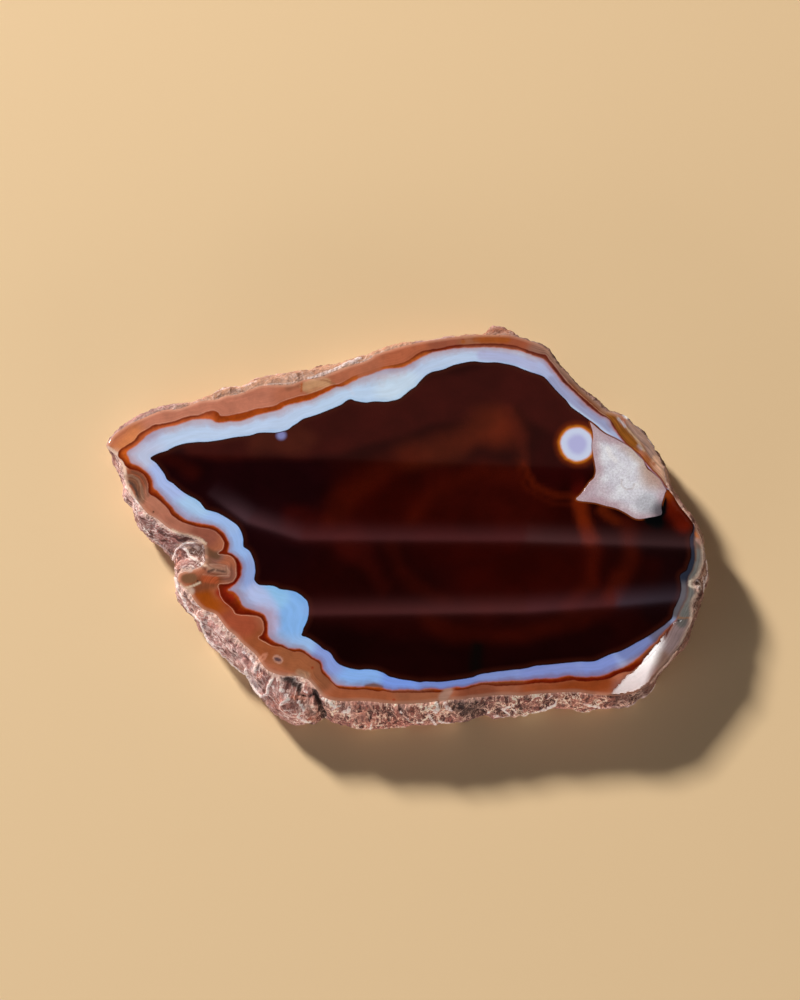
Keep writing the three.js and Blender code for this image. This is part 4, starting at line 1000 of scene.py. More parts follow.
# %% Draw the fine marks
FINE_STROKES = [
    ([(-74.9, 16.9), (-73.6, 15.8), (-72.2, 14.8), (-70.9, 12.7), (-70.4, 10.7), (-70, 8.2),
      (-69.5, 6.2), (-67.9, 3.5), (-66.9, 2.7)], 0.2, 0.4, (238, 214, 196), 0.9),
    ([(-69.2, 8.6), (-67.6, 7.6), (-66.4, 5.4), (-66, 2.7)], 0.6, 1.0, (128, 88, 68), 0.8),
    ([(-69.2, 7.6), (-68, 6.7), (-67.2, 4.8), (-66.6, 2.7)], 0.2, 0.4, (78, 60, 54), 0.85),
    ([(-69.9, 9.1), (-68.5, 9.3), (-66.8, 8.1), (-65.9, 5.8), (-65.5, 2.7)], 0.1, 0.4, (166, 126, 104), 0.8),
    ([(-68.5, 10.3), (-66.5, 9.6), (-65.2, 7.9), (-64.5, 5.8), (-64.2, 3.8)], 0.1, 0.4, (106, 76, 62), 0.6),
    ([(-62.7, -0.4)], 0.15, 0.25, (40, 24, 20)),
    ([(-55, -7.2), (-52.5, -7.7), (-50.4, -8.4)], 0.6, 0.5, (120, 104, 96), 0.9),
    ([(-55.4, -7.4), (-52.5, -7.5), (-50.9, -8.1)], 0.12, 0.3, (64, 52, 50), 0.8),
    ([(-58, -5.2), (-55.9, -6.3), (-53.4, -6.8), (-50.9, -7.7), (-49.5, -8.8)],
     0.12, 0.35, (232, 212, 190), 0.9),
    ([(-49.5, -8.8), (-52.5, -8.5), (-55, -8.6), (-56.9, -9.4)], 0.1, 0.35, (222, 190, 164), 0.8),
    # Painted shade: brown in the hollow of the niche and in the cavity below it, and a dark line under its
    # ridge.
    ([(-52.4, -10.7), (-50.4, -9.8), (-48.3, -11.4), (-46.6, -12)], 0.5, 1.0, (106, 74, 54), 0.9),
    ([(-50.7, -12.7), (-48.6, -13.5)], 0.4, 0.8, (132, 92, 72), 0.8),
    ([(-54, -12.2), (-51.5, -14), (-49.4, -15.3)], 0.15, 0.35, (90, 52, 44), 0.8),
    ([(-54.9, -9.8), (-53.6, -11.8), (-51.1, -13.5), (-49, -14.8), (-46.5, -15.9)],
     0.1, 0.35, (226, 200, 178), 0.85),
    ([(-48.2, -15.3), (-44.4, -15.9)], 0.7, 0.5, (172, 126, 106), 0.8),
    ([(-49, -14.4), (-46.6, -14.2), (-44.1, -14.6), (-43.4, -15.9), (-43.6, -17.2), (-46.5, -17.2),
      (-49.8, -17)], 0.05, 0.25, (206, 166, 144), 0.4),
    ([(-48.6, -16.1), (-47.3, -15.6)], 0.12, 0.3, (66, 46, 44), 0.8),
    ([(-46.4, -15.8), (-44.4, -16.2)], 0.1, 0.3, (60, 44, 44), 0.75),
    ([(-49.3, -17.9), (-46.9, -18.3)], 0.6, 0.8, (186, 88, 52), 0.7),
    ([(-53.9, -17.9), (-52.6, -17.8)], 0.9, 0.8, (130, 92, 66), 0.95),
    # A painted highlight: a pale mark on the upper edge of the brown oval.
    ([(-54.6, -15.3), (-53, -15.6)], 0.4, 0.5, (196, 186, 182), 0.85),
    ([(-55.5, -19.4), (-54.2, -20.5), (-52.2, -19.8), (-50.6, -19)], 0.12, 0.3, (226, 206, 180), 0.8),
    ([(-51.1, -18.6)], 0.15, 0.25, (16, 12, 14)),
    ([(-57.2, -18), (-56.4, -21.2), (-54.7, -22), (-52.7, -21.2)], 0.5, 0.8, (206, 182, 168), 0.8),
    ([(-31.3, -38.4), (-30.6, -38.8)], 0.75, 0.3, (206, 156, 138), 0.7),
    ([(-31.4, -38.5), (-30.6, -38.8)], 0.3, 0.35, (74, 52, 64), 0.9),
    ([(-36.3, -39.2), (-34.3, -37.3), (-33.7, -37.2), (-34.2, -38.4), (-35.5, -39.3)],
     0.1, 0.3, (214, 140, 112), 0.8),
    ([(-30.3, -44.1), (-29, -43.1), (-27.5, -43), (-26.2, -43.3), (-25.1, -44.2)],
     0.15, 0.35, (226, 180, 150), 0.8),
    # Painted shade: near black in the two deep hollows of the knob.
    ([(-29.9, -43.6), (-28.6, -43.3), (-27.5, -43.4)], 0.15, 0.4, (46, 34, 36), 0.95),
    ([(-27.9, -43.9), (-26.6, -44.4), (-25.7, -45.3)], 0.5, 0.5, (50, 40, 42), 0.95),
    ([(-25.3, -43.1), (-23.8, -44.7), (-22.2, -46), (-21.1, -47.3)], 0.5, 0.7, (140, 112, 98), 0.8),
    ([(-24.9, -43.6), (-24, -45.3)], 0.12, 0.3, (222, 200, 184), 0.8),
    ([(-25.8, -41.9), (-23.8, -42.6)], 0.4, 0.8, (176, 136, 108), 0.7),
    ([(-22.5, -40.7)], 0.15, 0.3, (150, 50, 24), 0.9),
    ([(-2.7, -48.8)], 0.15, 0.3, (150, 50, 24), 0.9),
    ([(10.5, -46.5), (9.2, -48.2)], 0.7, 0.8, (176, 142, 128), 0.75),
    ([(-25.5, 33.4), (-22.8, 34.6), (-20, 34.6)], 0.9, 0.6, (196, 150, 112), 0.9),
    ([(-26.3, 34.6), (-26.3, 32.1)], 0.12, 0.25, (170, 80, 30), 0.85),
    ([(-22.8, 35.5), (-20, 35.1), (-17.7, 34.1)], 0.1, 0.3, (150, 100, 70), 0.7),
    ([(15, 46)], 0.4, 0.4, (168, 92, 40), 0.8),
    ([(15, 46.6)], 0.15, 0.25, (140, 60, 50), 0.8),
    ([(18.2, 46.6), (22.5, 46.7), (26.5, 46.6)], 0.4, 0.7, (160, 84, 34), 0.7),
    ([(52, 25.7), (53.8, 22.5), (56, 20.1), (57.9, 18)], 0.6, 0.7, (140, 84, 26), 0.95),
    ([(57.1, 23.6), (59.6, 20.1), (61.4, 18), (62.6, 14.9)], 0.8, 0.8, (160, 132, 122), 0.9),
    ([(53.9, 25), (56.1, 22.2), (58.3, 19.4), (60.4, 15.9)], 0.1, 0.3, (200, 172, 144), 0.7),
    ([(54.2, 24.6), (55.8, 22.5)], 0.15, 0.3, (184, 184, 200), 0.7),
    ([(59, 17.3), (59.6, 16.4)], 0.2, 0.4, (176, 170, 180), 0.5),
    ([(55.9, 25.5), (56.3, 25.1)], 0.35, 0.3, (232, 234, 238)),
    ([(63.2, 13.8), (65, 10.7), (65.9, 7.6)], 0.5, 0.8, (222, 178, 150), 0.9),
    ([(62.7, 12.4)], 0.25, 0.5, (150, 80, 40), 0.7),
    ([(57.8, 16.3), (60, 13.8), (60.9, 12.1), (63, 9.7), (64.5, 6.6)], 0.15, 0.35, (178, 104, 46), 0.9),
    ([(73.1, -11.5), (71.7, -16.2), (69.8, -21.5), (68.7, -25.8), (67.9, -29.1)],
     0.8, 1.2, (112, 112, 110), 0.9),
    ([(70.9, -4.1), (72.1, -5.8), (73, -7.1)], 0.25, 0.5, (196, 110, 50), 0.9),
    ([(72.7, -7.8), (73.6, -8.8)], 0.3, 0.5, (184, 144, 134), 0.8),
    ([(72.1, -10.8), (71.8, -13.2)], 0.1, 0.35, (120, 84, 60), 0.7),
    ([(69.1, -17.8), (69, -20.2)], 0.4, 0.6, (64, 76, 92), 0.8),
    ([(68.7, -21.5), (68.5, -23.1), (67.8, -25.1)], 0.15, 0.35, (156, 96, 50), 0.8),
    ([(66.4, -27.6), (65.4, -29.1), (64.7, -30.7)], 0.3, 0.4, (170, 88, 36), 0.9),
    ([(66.7, -27.9), (68.3, -28.1), (69.9, -28)], 0.1, 0.25, (150, 104, 70), 0.8),
    ([(66.9, -28.7)], 0.15, 0.25, (24, 24, 24)),
    ([(73.9, -9.2), (74.2, -11.8), (73.7, -14.2), (72.6, -16.8), (71.6, -18.2), (70.3, -18.7),
      (70.1, -19.7), (71.5, -20.2), (72.8, -19.8), (73.2, -20.5)], 0.14, 0.35, (228, 216, 200), 0.9),
    ([(73.2, -20.5), (72, -21.8), (71, -23.1), (70.5, -25.1), (70.4, -27.4), (69.8, -30.4),
      (68.1, -33.3), (66.4, -36.6), (64.4, -39.5), (62.1, -42.1), (59.8, -44.7)],
     0.14, 0.35, (222, 206, 190), 0.85),
]
print(len(FINE_STROKES), "fine marks")

# %% Draw the strokes of the pale band
PALE_STROKES = [
    ([(-66, 14), (-62, 15)], 2, 5, (196, 208, 242)),
    ([(-56, 20), (-24, 26)], 3, 6, (194, 219, 255)),
    ([(-18, 29), (-8, 32)], 3, 5, (192, 220, 254)),
    ([(-3, 33), (2, 34)], 2.5, 4, (204, 229, 255)),
    ([(8, 39), (30, 41)], 3, 5, (192, 216, 251)),
    ([(36, 37), (39, 34)], 2, 4, (176, 190, 234)),
    ([(42, 30), (52, 21)], 2, 4, (172, 186, 228)),
    ([(20, 42.2), (26.3, 41.5), (32.5, 39.4)], 0.8, 1.4, (178, 188, 232), 0.9),
    ([(37.6, 35.1), (41.3, 30.6), (46.3, 26.1), (51, 22)], 0.7, 1.2, (156, 164, 206), 0.9),
    ([(36, 33.6), (43, 27), (48.8, 22.4), (52.5, 19)], 0.3, 0.8, (204, 224, 254), 0.8),
    ([(71.5, -6), (70.5, -12), (69.5, -19)], 1.4, 3, (40, 46, 62)),
    ([(68.5, -21.5), (67, -26)], 1.4, 2.4, (98, 96, 104)),
    ([(63.5, -30.5), (61.5, -32.5)], 1.4, 2.4, (108, 108, 136)),
    ([(58, -35), (54, -36.5)], 1.4, 2.4, (124, 140, 202)),
    ([(49, -39.5), (45, -41)], 1.6, 3, (136, 156, 228)),
    ([(40, -41.5), (30, -42)], 1.6, 3, (134, 152, 222)),
    ([(25, -43), (19, -44)], 1.6, 3, (134, 154, 220)),
    ([(15, -45), (5, -45.4)], 1.6, 3, (122, 146, 220)),
    ([(0, -44.6), (-4, -44)], 1.6, 3, (126, 162, 248)),
    ([(-9, -43), (-14, -41.6)], 1.8, 3, (140, 186, 255)),
    ([(-18, -39.6), (-21, -37)], 1.8, 3, (142, 166, 236)),
    ([(-25, -34.5), (-28, -31)], 1.8, 3, (160, 200, 255)),
    ([(-26, -25), (-27, -28)], 3.0, 4, (138, 190, 255)),
    ([(-32, -22.5), (-34, -21)], 2.0, 3, (150, 204, 255)),
    ([(-38, -17.5), (-41, -13)], 1.6, 3, (148, 172, 230)),
    ([(-41, -10), (-42, -6)], 1.6, 3, (158, 194, 254)),
    ([(-44, -3), (-48, 0)], 2.0, 3, (164, 197, 252)),
    ([(-51, 2), (-54, 4)], 2.0, 3, (174, 212, 255)),
    ([(-57, 6.5), (-61, 10)], 2.0, 3, (175, 196, 250)),
    ([(-36.5, -21.5), (-33.6, -25.5), (-33, -30)], 1.0, 2.6, (192, 204, 252), 0.8),
    ([(-9.2, -45.6), (-7.5, -45.2), (-5.9, -45.8)], 0.4, 0.6, (124, 94, 74), 0.9),
    ([(-17.5, 33.4), (-15.3, 33.4), (-13.7, 32.5), (-13.1, 31.4)], 0.12, 0.5, (204, 222, 252), 0.6),
]

# %% Draw the strokes of the dark middle
DARK_STROKES = [
    ([(-24, -33), (-4, -38), (24, -38), (46, -34)], 2.5, 6.0, (20, 2, 2), 0.85),
    ([(-56, 12), (-30, 8), (-34, -8)], 6.0, 14.0, (25, 3, 5)),
    ([(-8, 4), (16, -8), (34, -4), (40, -14), (20, -20)], 3.0, 12.0, (44, 4, 1), 0.9),
    ([(10, 6), (30, 2)], 3.0, 9.0, (54, 8, 3), 0.7),
    ([(-50, 20), (-20, 21), (10, 30), (30, 34), (46, 20)], 5.0, 3.5, (54, 12, 8), 0.9),
    ([(-27, -3), (-15, -6), (-12, -10)], 2.0, 5.0, (54, 8, 5), 0.7),
    ([(-36, 18), (-26, 19)], 1.0, 5.0, (76, 30, 18), 0.7),
    ([(24, 21.5)], 0.5, 9.0, (106, 36, 14), 0.65),
    ([(21.6, 25), (12.5, 17.1), (1.1, 14.6)], 0.4, 6.5, (92, 32, 13), 0.6),
    ([(1.1, 14.6), (-7.9, 9.2), (-14.6, 3.2), (-17.9, -1.6)], 0.3, 6.0, (74, 17, 4), 0.45),
    ([(-17.9, -1.6), (-13.4, -9.8), (-7.8, -15.7), (-5, -20.3)], 0.2, 4.0, (56, 10, 4), 0.4),
    ([(26.2, 26.2), (29.5, 20.1), (29.9, 12.8)], 0.2, 2.8, (82, 25, 12), 0.45),
    ([(29.9, 12.8), (32.6, 6.8), (38.2, 3.8), (43.2, 3)], 0.2, 1.5, (86, 23, 4), 0.6),
    ([(27.8, 13.4), (30.4, 6), (36.6, 2.2), (42, 0.8)], 0.1, 1.3, (70, 16, 3), 0.5),
    ([(28.2, 9.2), (19.2, 11), (11.2, 6.8), (5.6, 2), (2.2, -1.6)], 0.2, 5.0, (70, 14, 3), 0.45),
    ([(-3.4, -9.8), (-1.1, -15.7), (2.2, -20.3), (9.9, -23.8)], 0.2, 3.6, (58, 11, 3), 0.4),
    ([(5.5, -28.4), (12, -32.1), (23, -33), (34, -31.3), (44, -27.3), (50.8, -22.7)], 0.3, 4.6,
     (62, 12, 2), 0.45),
    ([(50.8, -22.7), (54.9, -15.7), (56.8, -9.8), (54.7, -3.9)], 0.3, 4.0, (78, 19, 4), 0.5),
    ([(43.8, 1.4), (45, -3), (45.6, -7)], 0.7, 2.8, (106, 32, 6), 0.8),
    ([(43.6, 8.5), (43.8, 5.0)], 0.8, 2.5, (76, 12, 5), 0.7),
    ([(45.6, -7), (46.7, -12.2), (45.9, -19.2), (40.8, -25)], 0.2, 4.0, (74, 16, 3), 0.5),
    ([(49.8, 0.2), (52.5, -2.6)], 0.3, 2.6, (92, 28, 5), 0.7),
    ([(40, 13.2)], 5.5, 5.0, (40, 3, 3), 0.85),
    ([(62, -9), (68, -12), (66, -22), (62, -26)], 2.0, 5.0, (20, 3, 4), 0.9),
    ([(66.3, 4.4), (68.3, 1.4)], 0.5, 2.0, (138, 54, 8), 0.95),
    ([(67.3, 1), (69.2, -3.4)], 1.0, 3.0, (92, 20, 5), 0.9),
    ([(61, -2.4), (63.2, -3.4)], 1.2, 1.3, (3, 6, 7)),
    ([(64.9, 3.0), (64.6, 0.2), (63.4, -2.2)], 0.5, 0.9, (3, 5, 7)),
    ([(17.3, -36), (17.2, -41)], 0.4, 2.4, (8, 6, 5), 0.85),
    ([(-61.5, 14.2), (-57, 13), (-53, 10)], 0.3, 3.5, (48, 8, 4), 0.7),
]

# %% Draw the strokes of the rust line
RUST_STROKES = [
    ([(-71, 14), (-69, 17.5)], 1.0, 2, (206, 96, 34)),
    ([(-68, 18.5), (-60, 23), (-50, 26)], 1.0, 3, (188, 92, 50)),
    ([(-46, 26), (-20, 32.6)], 1.0, 3, (164, 70, 14)),
    ([(-14, 35.4), (4, 42)], 1.0, 3, (174, 88, 36)),
    ([(9, 44.2), (13, 45)], 1.0, 2, (122, 44, 22)),
    ([(17, 45), (29, 44.4)], 1.0, 3, (140, 74, 52)),
    ([(33, 43), (37, 39.6)], 1.0, 2, (118, 58, 42)),
    ([(39.5, 37), (52, 24)], 1.0, 3, (94, 44, 36)),
    ([(66, -28), (60, -38)], 1.0, 3, (118, 62, 44)),
    ([(55, -41), (42, -44)], 1.0, 3, (116, 30, 6)),
    ([(38, -44.4), (31, -45)], 1.0, 3, (128, 38, 10)),
    ([(27, -45.6), (18, -46)], 1.0, 3, (128, 64, 36)),
    ([(4, -46.4), (-3, -46.6)], 1.0, 3, (136, 76, 52)),
    ([(-7, -46.6), (-18, -44)], 1.0, 3, (152, 66, 18)),
    ([(-21, -40), (-31, -35)], 1.0, 3, (138, 56, 20)),
    ([(-34, -32.5), (-40, -26)], 1.0, 3, (136, 40, 8)),
    ([(-43.5, -22.5), (-43, -19.5)], 1.0, 2, (140, 36, 16)),
    ([(-41, -18), (-40.5, -14)], 0.8, 2, (110, 14, 4)),
    ([(-43, -10.5), (-46, -8)], 1.0, 2, (120, 36, 10)),
    ([(-49, -4), (-68, 11)], 1.0, 3, (150, 58, 20)),
]

# %% Draw the strokes of the bark
BARK_STROKES = [
    ([(-70, 18), (-50, 29)], 2, 2, (190, 136, 110)),
    ([(-48, 31), (-26, 35.5)], 2, 2, (184, 134, 102)),
    ([(-24, 36.5), (0, 44)], 2, 2, (182, 132, 100)),
    ([(15, 47), (18, 47)], 2, 2, (176, 124, 96)),
    ([(20, 48.5), (27, 48)], 1.2, 1.5, (160, 100, 70)),
    ([(30, 46), (42, 36), (55, 26)], 2, 2, (136, 96, 80)),
    ([(60, 22), (65, 12)], 2, 2, (138, 104, 90)),
    ([(56.5, 25.4)], 0.6, 1, (208, 212, 212)),
    # The four strokes below, on the right, are darker by painted shade, on the side turned from the key
    # light.
    ([(73, -18), (75, -8)], 2, 2, (122, 98, 76)),
    ([(68, -34), (72, -24)], 2, 2, (104, 78, 60)),
    ([(58, -46.5), (66, -38)], 2, 2, (132, 90, 70)),
    ([(54.5, -49), (57, -47.5)], 1, 1.5, (100, 64, 56)),
    ([(47, -49), (52, -50)], 1, 1.5, (152, 108, 94)),
    ([(39, -49.5), (46, -50.5)], 1.6, 2, (164, 116, 96)),
    ([(33.5, -50.5), (36, -49)], 0.8, 1, (94, 48, 44)),
    ([(29, -50), (32, -52)], 1.2, 1.5, (134, 78, 74)),
    ([(20, -50.5), (25, -52.5)], 1.2, 1.5, (116, 74, 74)),
    ([(13, -51), (18, -52)], 1.2, 1.5, (78, 46, 50)),
    ([(15.6, -53.2), (18.4, -52.6)], 0.5, 0.8, (100, 52, 34)),
    ([(8, -50), (11.6, -51.4)], 0.8, 1.2, (190, 152, 128)),
    ([(3, -50.6), (6, -53)], 1.2, 1.5, (160, 104, 90)),
    ([(-1.5, -52), (0, -54.5)], 0.8, 1.2, (148, 90, 88)),
    ([(-6, -51), (-3, -55)], 1.4, 1.6, (146, 84, 74)),
    ([(-12, -51), (-9, -55)], 1.4, 1.6, (190, 140, 122)),
    ([(-19, -50), (-14, -52)], 1.4, 1.6, (184, 150, 140)),
    ([(-25.5, -49), (-22.5, -52)], 1.2, 1.5, (178, 140, 122)),
    ([(-23, -54.6), (-21.5, -54.8)], 0.5, 0.7, (164, 86, 56)),
    ([(-27, -48.2), (-24.5, -48.3)], 0.3, 0.5, (184, 106, 70), 0.9),
    ([(-31, -50), (-26.5, -52.5)], 1.2, 1.4, (176, 122, 108)),
    ([(-36.3, -44.5), (-35.2, -42.5)], 0.3, 0.5, (200, 120, 90)),
    ([(-38, -44), (-36, -46)], 0.8, 1.2, (206, 188, 184)),
    ([(-46, -35), (-41, -38)], 1.4, 1.6, (198, 154, 146)),
    ([(-48, -27), (-43, -33)], 1.4, 1.6, (196, 146, 136)),
    ([(-54, -22), (-50.5, -27)], 1.0, 1.2, (190, 142, 126)),
    # Painted shade: brown in the hollow of the niche.
    ([(-52, -11), (-49, -12)], 0.8, 1.0, (110, 80, 60)),
    ([(-54.8, -9.6), (-53, -10.4)], 0.4, 0.5, (196, 170, 150), 0.9),
    ([(-57, -10), (-57, -15)], 0.8, 1.0, (178, 112, 94)),
    ([(-53.7, -17.8)], 1.4, 0.8, (122, 78, 56)),
    ([(-62, -5), (-58, -8.5)], 1.4, 1.6, (176, 118, 110)),
    ([(-70, 6), (-65, -1)], 1.4, 1.6, (210, 166, 158)),
]

# %% Draw the three shares
STRIPED_STROKES = [
    ([(36, 42), (46, 31), (57, 22), (65, 10)], 2.5, 3, 0.8),
    ([(-66, 9), (-67, 3)], 1.5, 2.5, 0.7),
    ([(-43, -15), (-49, -17)], 1.5, 3, 0.7),
    ([(-24, -44), (-22, -47)], 1.5, 2, 0.8),
    ([(73, -6), (70, -26), (66, -34)], 2, 3, 0.6),
]
CREAMY_STROKES = [
    ([(-62, 4), (-52, -5), (-45, -9)], 2, 3, 0.35),
    ([(-46, -11), (-43, -16), (-46, -20), (-43, -26), (-35, -28), (-35, -33)], 2, 3, 1.0),
    ([(-66, 22), (-48, 27), (-30, 30), (-18, 34)], 1.5, 3, 0.6),
    ([(38, 40), (50, 27)], 1.5, 3, 0.6),
]
FADED_STROKES = [
    ([(-11, 36.9), (-7, 38.2)], 0.6, 1.2, 0.75),
    ([(10.5, -46.4)], 0.9, 1.2, 0.9),
    ([(67.6, -27), (70, -20), (72, -12), (72.6, -5)], 1.2, 1.4, 0.85),
]


def shares(points, least, strokes):
    """A share between 0 and 1 on the points, at its least away from the strokes."""
    made = np.full(len(points), least, float)
    for path, reach, softness, strength in strokes:
        made = np.maximum(made, strength * stroke_share(points, path, reach, softness))
    return made


SHARES = {"striped": (0.18, STRIPED_STROKES), "creamy": (0, CREAMY_STROKES), "faded": (0, FADED_STROKES)}
for name, (least, strokes) in SHARES.items():
    store(mesh, name, shares(drawn, least, strokes))
print("shares:", ", ".join(SHARES))

# %% Lay the washes on the points
LAYERS = {
    "outer_wash": (SALMON, OUTER_STROKES + FINE_STROKES),
    "rust_wash": ((140, 56, 20), RUST_STROKES),
    "pale_wash": ((170, 190, 238), PALE_STROKES),
    "dark_wash": ((31, 3, 2), DARK_STROKES),
}
DARK_FADE = 1.6
ROSE_BROWN = (168, 122, 112)
WOBBLE_SIZE = 7.0
WOBBLE = 1.3
WOBBLE_SEED = 4


def wobbled(points):
    """Points pushed about by a smooth noise, so that strokes over them wander."""
    pushes = [noise.noise_vector((x / WOBBLE_SIZE, y / WOBBLE_SIZE, 0.5)) for x, y in points.tolist()]
    return points + WOBBLE * np.array(pushes)[:, :2]


noise.seed_set(WOBBLE_SEED)
for name, (ground, strokes) in LAYERS.items():
    if name == "dark_wash":
        colours = wash(wobbled(drawn), ground, strokes, DARK_FADE)
    else:
        colours = wash(drawn, ground, strokes)
    store(mesh, name, colours, "FLOAT_COLOR", "color")
    print(name, "from", len(strokes), "strokes")
colours = wash(seen(skin), ROSE_BROWN, BARK_STROKES + FINE_STROKES)
store(mesh, "bark_wash", colours, "FLOAT_COLOR", "color")

# %% [markdown]
# ## The pattern of the layers
#
# The colours meet where a depth passes zero, softly or sharply as in the stone. A little noise on each
# depth keeps the lines from looking ruled. The same pattern serves the polished face and the sawn base,
# because the layers run through the slice.

# %% Helpers that the finishes share
def colour(red, green, blue):
    """A screen colour as a socket wants it."""
    return (*tint(red, green, blue).tolist(), 1.0)


class Finish(Sheet):
    """The node tree of a material, with the stone's own places and depths."""

    def __init__(self, material):
        material.use_nodes = True
        material.node_tree.nodes.clear()
        super().__init__(material.node_tree)
        place = self.node("ShaderNodeTexCoord", take="Object")
        self.place = self.vector("ADD", self.vector("MULTIPLY", place, (1 / MM,) * 3), (*DRAWN_CENTRE, 0.0))
        axes = self.node("ShaderNodeSeparateXYZ", None, {0: self.place})
        self.x = axes.also("X")
        self.y = axes.also("Y")

    def stored(self, name, take="Fac"):
        """What the points keep under a name: a number, or with take a colour or a vector."""
        return self.node("ShaderNodeAttribute", {"attribute_name": name}, None, take)

    def cloudy(self, size, detail, roughness, seed):
        """Cloudy values round one half, at the stone's own places."""
        return self.noise(self.place, size, detail, roughness, seed)

    def mix(self, share, first, second):
        """The first colour, turning into the second as the share goes from 0 to 1."""
        return self.node("ShaderNodeMix", {"data_type": "RGBA"}, {0: share, 6: first, 7: second}, 2)

    def shade(self, first, factor):
        """A colour made lighter or darker by a grey factor."""
        grey = self.node("ShaderNodeCombineColor", None, {0: factor, 1: factor, 2: factor})
        return self.vector("MULTIPLY", first, grey)

    def pulse(self, value, middle, half, blur):
        """1 where the value is within half of the middle, soft over the blur."""
        gap = self.maths("ABSOLUTE", value - middle)
        return self.rise(gap, half + blur, half)

    def spot(self, x, y, radius, blur, wide=1.0):
        """1 inside a round or oval spot, soft over the blur."""
        across = (self.x - x) / wide
        gap = self.maths("SQRT", across * across + (self.y - y) ** 2)
        return self.rise(gap, radius + blur, radius)

    def spotted(self, made, spots):
        """A colour with round spots over it, some of them colour, some painted shade or a painted glint: each
        has a place, a radius, a blur, a strength and a colour.
        """
        for (x, y), radius, blur, strength, tone in spots:
            made = self.mix(self.spot(x, y, radius, blur) * strength, made, colour(*tone))
        return made

    def line(self, path, half, blur):
        """1 along a drawn line, with its half width and blur in millimetres."""
        place = self.vector("MULTIPLY", self.place, (1.0, 1.0, 0.0))
        closest = None
        for (ax, ay), (bx, by) in pairwise(path):
            way = np.array([bx - ax, by - ay])
            step = way / (way @ way)
            from_start = self.vector("SUBTRACT", place, (ax, ay, 0.0))
            along = self.vector("DOT_PRODUCT", from_start, (*step, 0.0), take="Value")
            on_line = self.scaled((*way, 0.0), self.node("ShaderNodeClamp", None, {"Value": along}))
            gap = self.vector("DISTANCE", from_start, on_line, take="Value")
            closest = gap if closest is None else self.maths("MINIMUM", closest, gap)
        return self.rise(closest, half + blur, half)

    def grown(self, depth, drift):
        """Places that run fast across the layers and slowly along them, for growth lines."""
        return self.node("ShaderNodeCombineXYZ", None, {0: depth, 1: self.x * drift, 2: self.y * drift})

    def bump(self, height, strength, reach):
        """A normal from heights between 0 and 1 that stand for a reach in millimetres."""
        sockets = {"Strength": strength, "Distance": reach * MM, "Height": height}
        return self.node("ShaderNodeBump", None, sockets)


# %% Colour the outer layer and the rust line
def outer_colour(sheet, rust, edge, drift):
    """The salmon layer outside the rust line, with fine growth lines that follow it."""
    bands = sheet.noise(sheet.grown((rust + drift * 0.5) * 2.4, 0.06), 1.0, 4, 0.65, 5)
    stripes = (sheet.rise(bands, 0.25, 0.75) - 0.5) * sheet.stored("striped")
    made = sheet.shade(sheet.stored("outer_wash", "Color"), 1 + stripes)
    clouds = sheet.cloudy(3.0, 5, 0.62, 2)
    made = sheet.shade(made, sheet.rise(clouds, 0.25, 0.75, 0.86, 1.14))
    made = sheet.mix(sheet.rise(edge, 1.1, 0.1) * 0.35, made, colour(214, 170, 148))
    cream = sheet.pulse(rust, -0.24, 0.02, 0.09) * sheet.stored("creamy")
    return sheet.mix(cream * sheet.rise(clouds, 0.35, 0.6, 0.3, 0.7), made, colour(228, 172, 148))


def rust_colour(sheet, rust, pale):
    """The rust line: deep red outside, orange where it bleeds into the pale band."""
    share = rust / (rust - pale)
    wash_colour = sheet.stored("rust_wash", "Color")
    deep = 0.8 - sheet.spot(-24.0, 31.0, 20.0, 12.0) * 0.55
    made = sheet.mix(sheet.rise(share, 0.75, 0.1) * deep, wash_colour, colour(92, 18, 6))
    made = sheet.mix(sheet.rise(share, 0.6, 1.1) * 0.5, made, colour(222, 118, 44))
    patches = sheet.cloudy(2.0, 3, 0.6, 4)
    return sheet.shade(made, sheet.rise(patches, 0.3, 0.7, 0.8, 1.2))


# %% Colour the pale band and the dark middle
MAUVE = (0.92, 0.62, 0.56)
CLEAR_BLUE = (0.8, 0.89, 0.96)
LILAC_DOT = ((-31.2, 20.1), 0.5, 1.3, 0.8, (140, 150, 215))


def pale_colour(sheet, pale, middle):
    """The pale band: mauve near the rust, cool white along the middle, a little bluer inside."""
    share = pale / (pale - middle)
    wash_colour = sheet.stored("pale_wash", "Color")
    clouds = sheet.cloudy(2.6, 4, 0.6, 6) - 0.5
    from_mauve = sheet.rise(share + clouds * 0.5, 0.02, 0.5)
    made = sheet.mix(from_mauve, sheet.vector("MULTIPLY", wash_colour, MAUVE), wash_colour)
    to_clear = sheet.rise(share + clouds * 0.4, 0.8, 1.0) * 0.7
    made = sheet.mix(to_clear, made, sheet.vector("MULTIPLY", wash_colour, CLEAR_BLUE))
    threads = sheet.noise(sheet.grown(share * 7.0, 0.16), 1.0, 3, 0.6, 16)
    return sheet.shade(made, sheet.rise(threads, 0.25, 0.75, 0.93, 1.07))


def dark_colour(sheet, middle):
    """The dark middle: a thin black line, a brown glow, then near black with a few warm clouds."""
    smoke = sheet.cloudy(9.0, 4, 0.55, 8)
    made = sheet.shade(sheet.stored("dark_wash", "Color"), sheet.rise(smoke, 0.3, 0.7, 0.8, 1.2))
    by_quartz = sheet.rise(sheet.stored("to_quartz"), -3.0, -1.5)
    glow = sheet.rise(middle, 1.8, 0.3) * 0.5 * (1 - by_quartz)
    made = sheet.spotted(sheet.mix(glow, made, colour(62, 24, 14)), [LILAC_DOT])
    return sheet.mix(sheet.rise(middle, 0.4, 0.12) * 0.8, made, colour(16, 8, 10))


# %% Draw the eye
EYE = (43.5, 17.7)
EYE_WIDTH = 1.08
EYE_RINGS = [
    (7.2, 4.4, 0.8, (126, 46, 4)),
    (5.7, 4.4, 1.0, (212, 122, 26)),
    (4.8, 4.0, 1.0, (208, 222, 255)),
    (3.5, 1.7, 0.9, (180, 184, 238)),
]


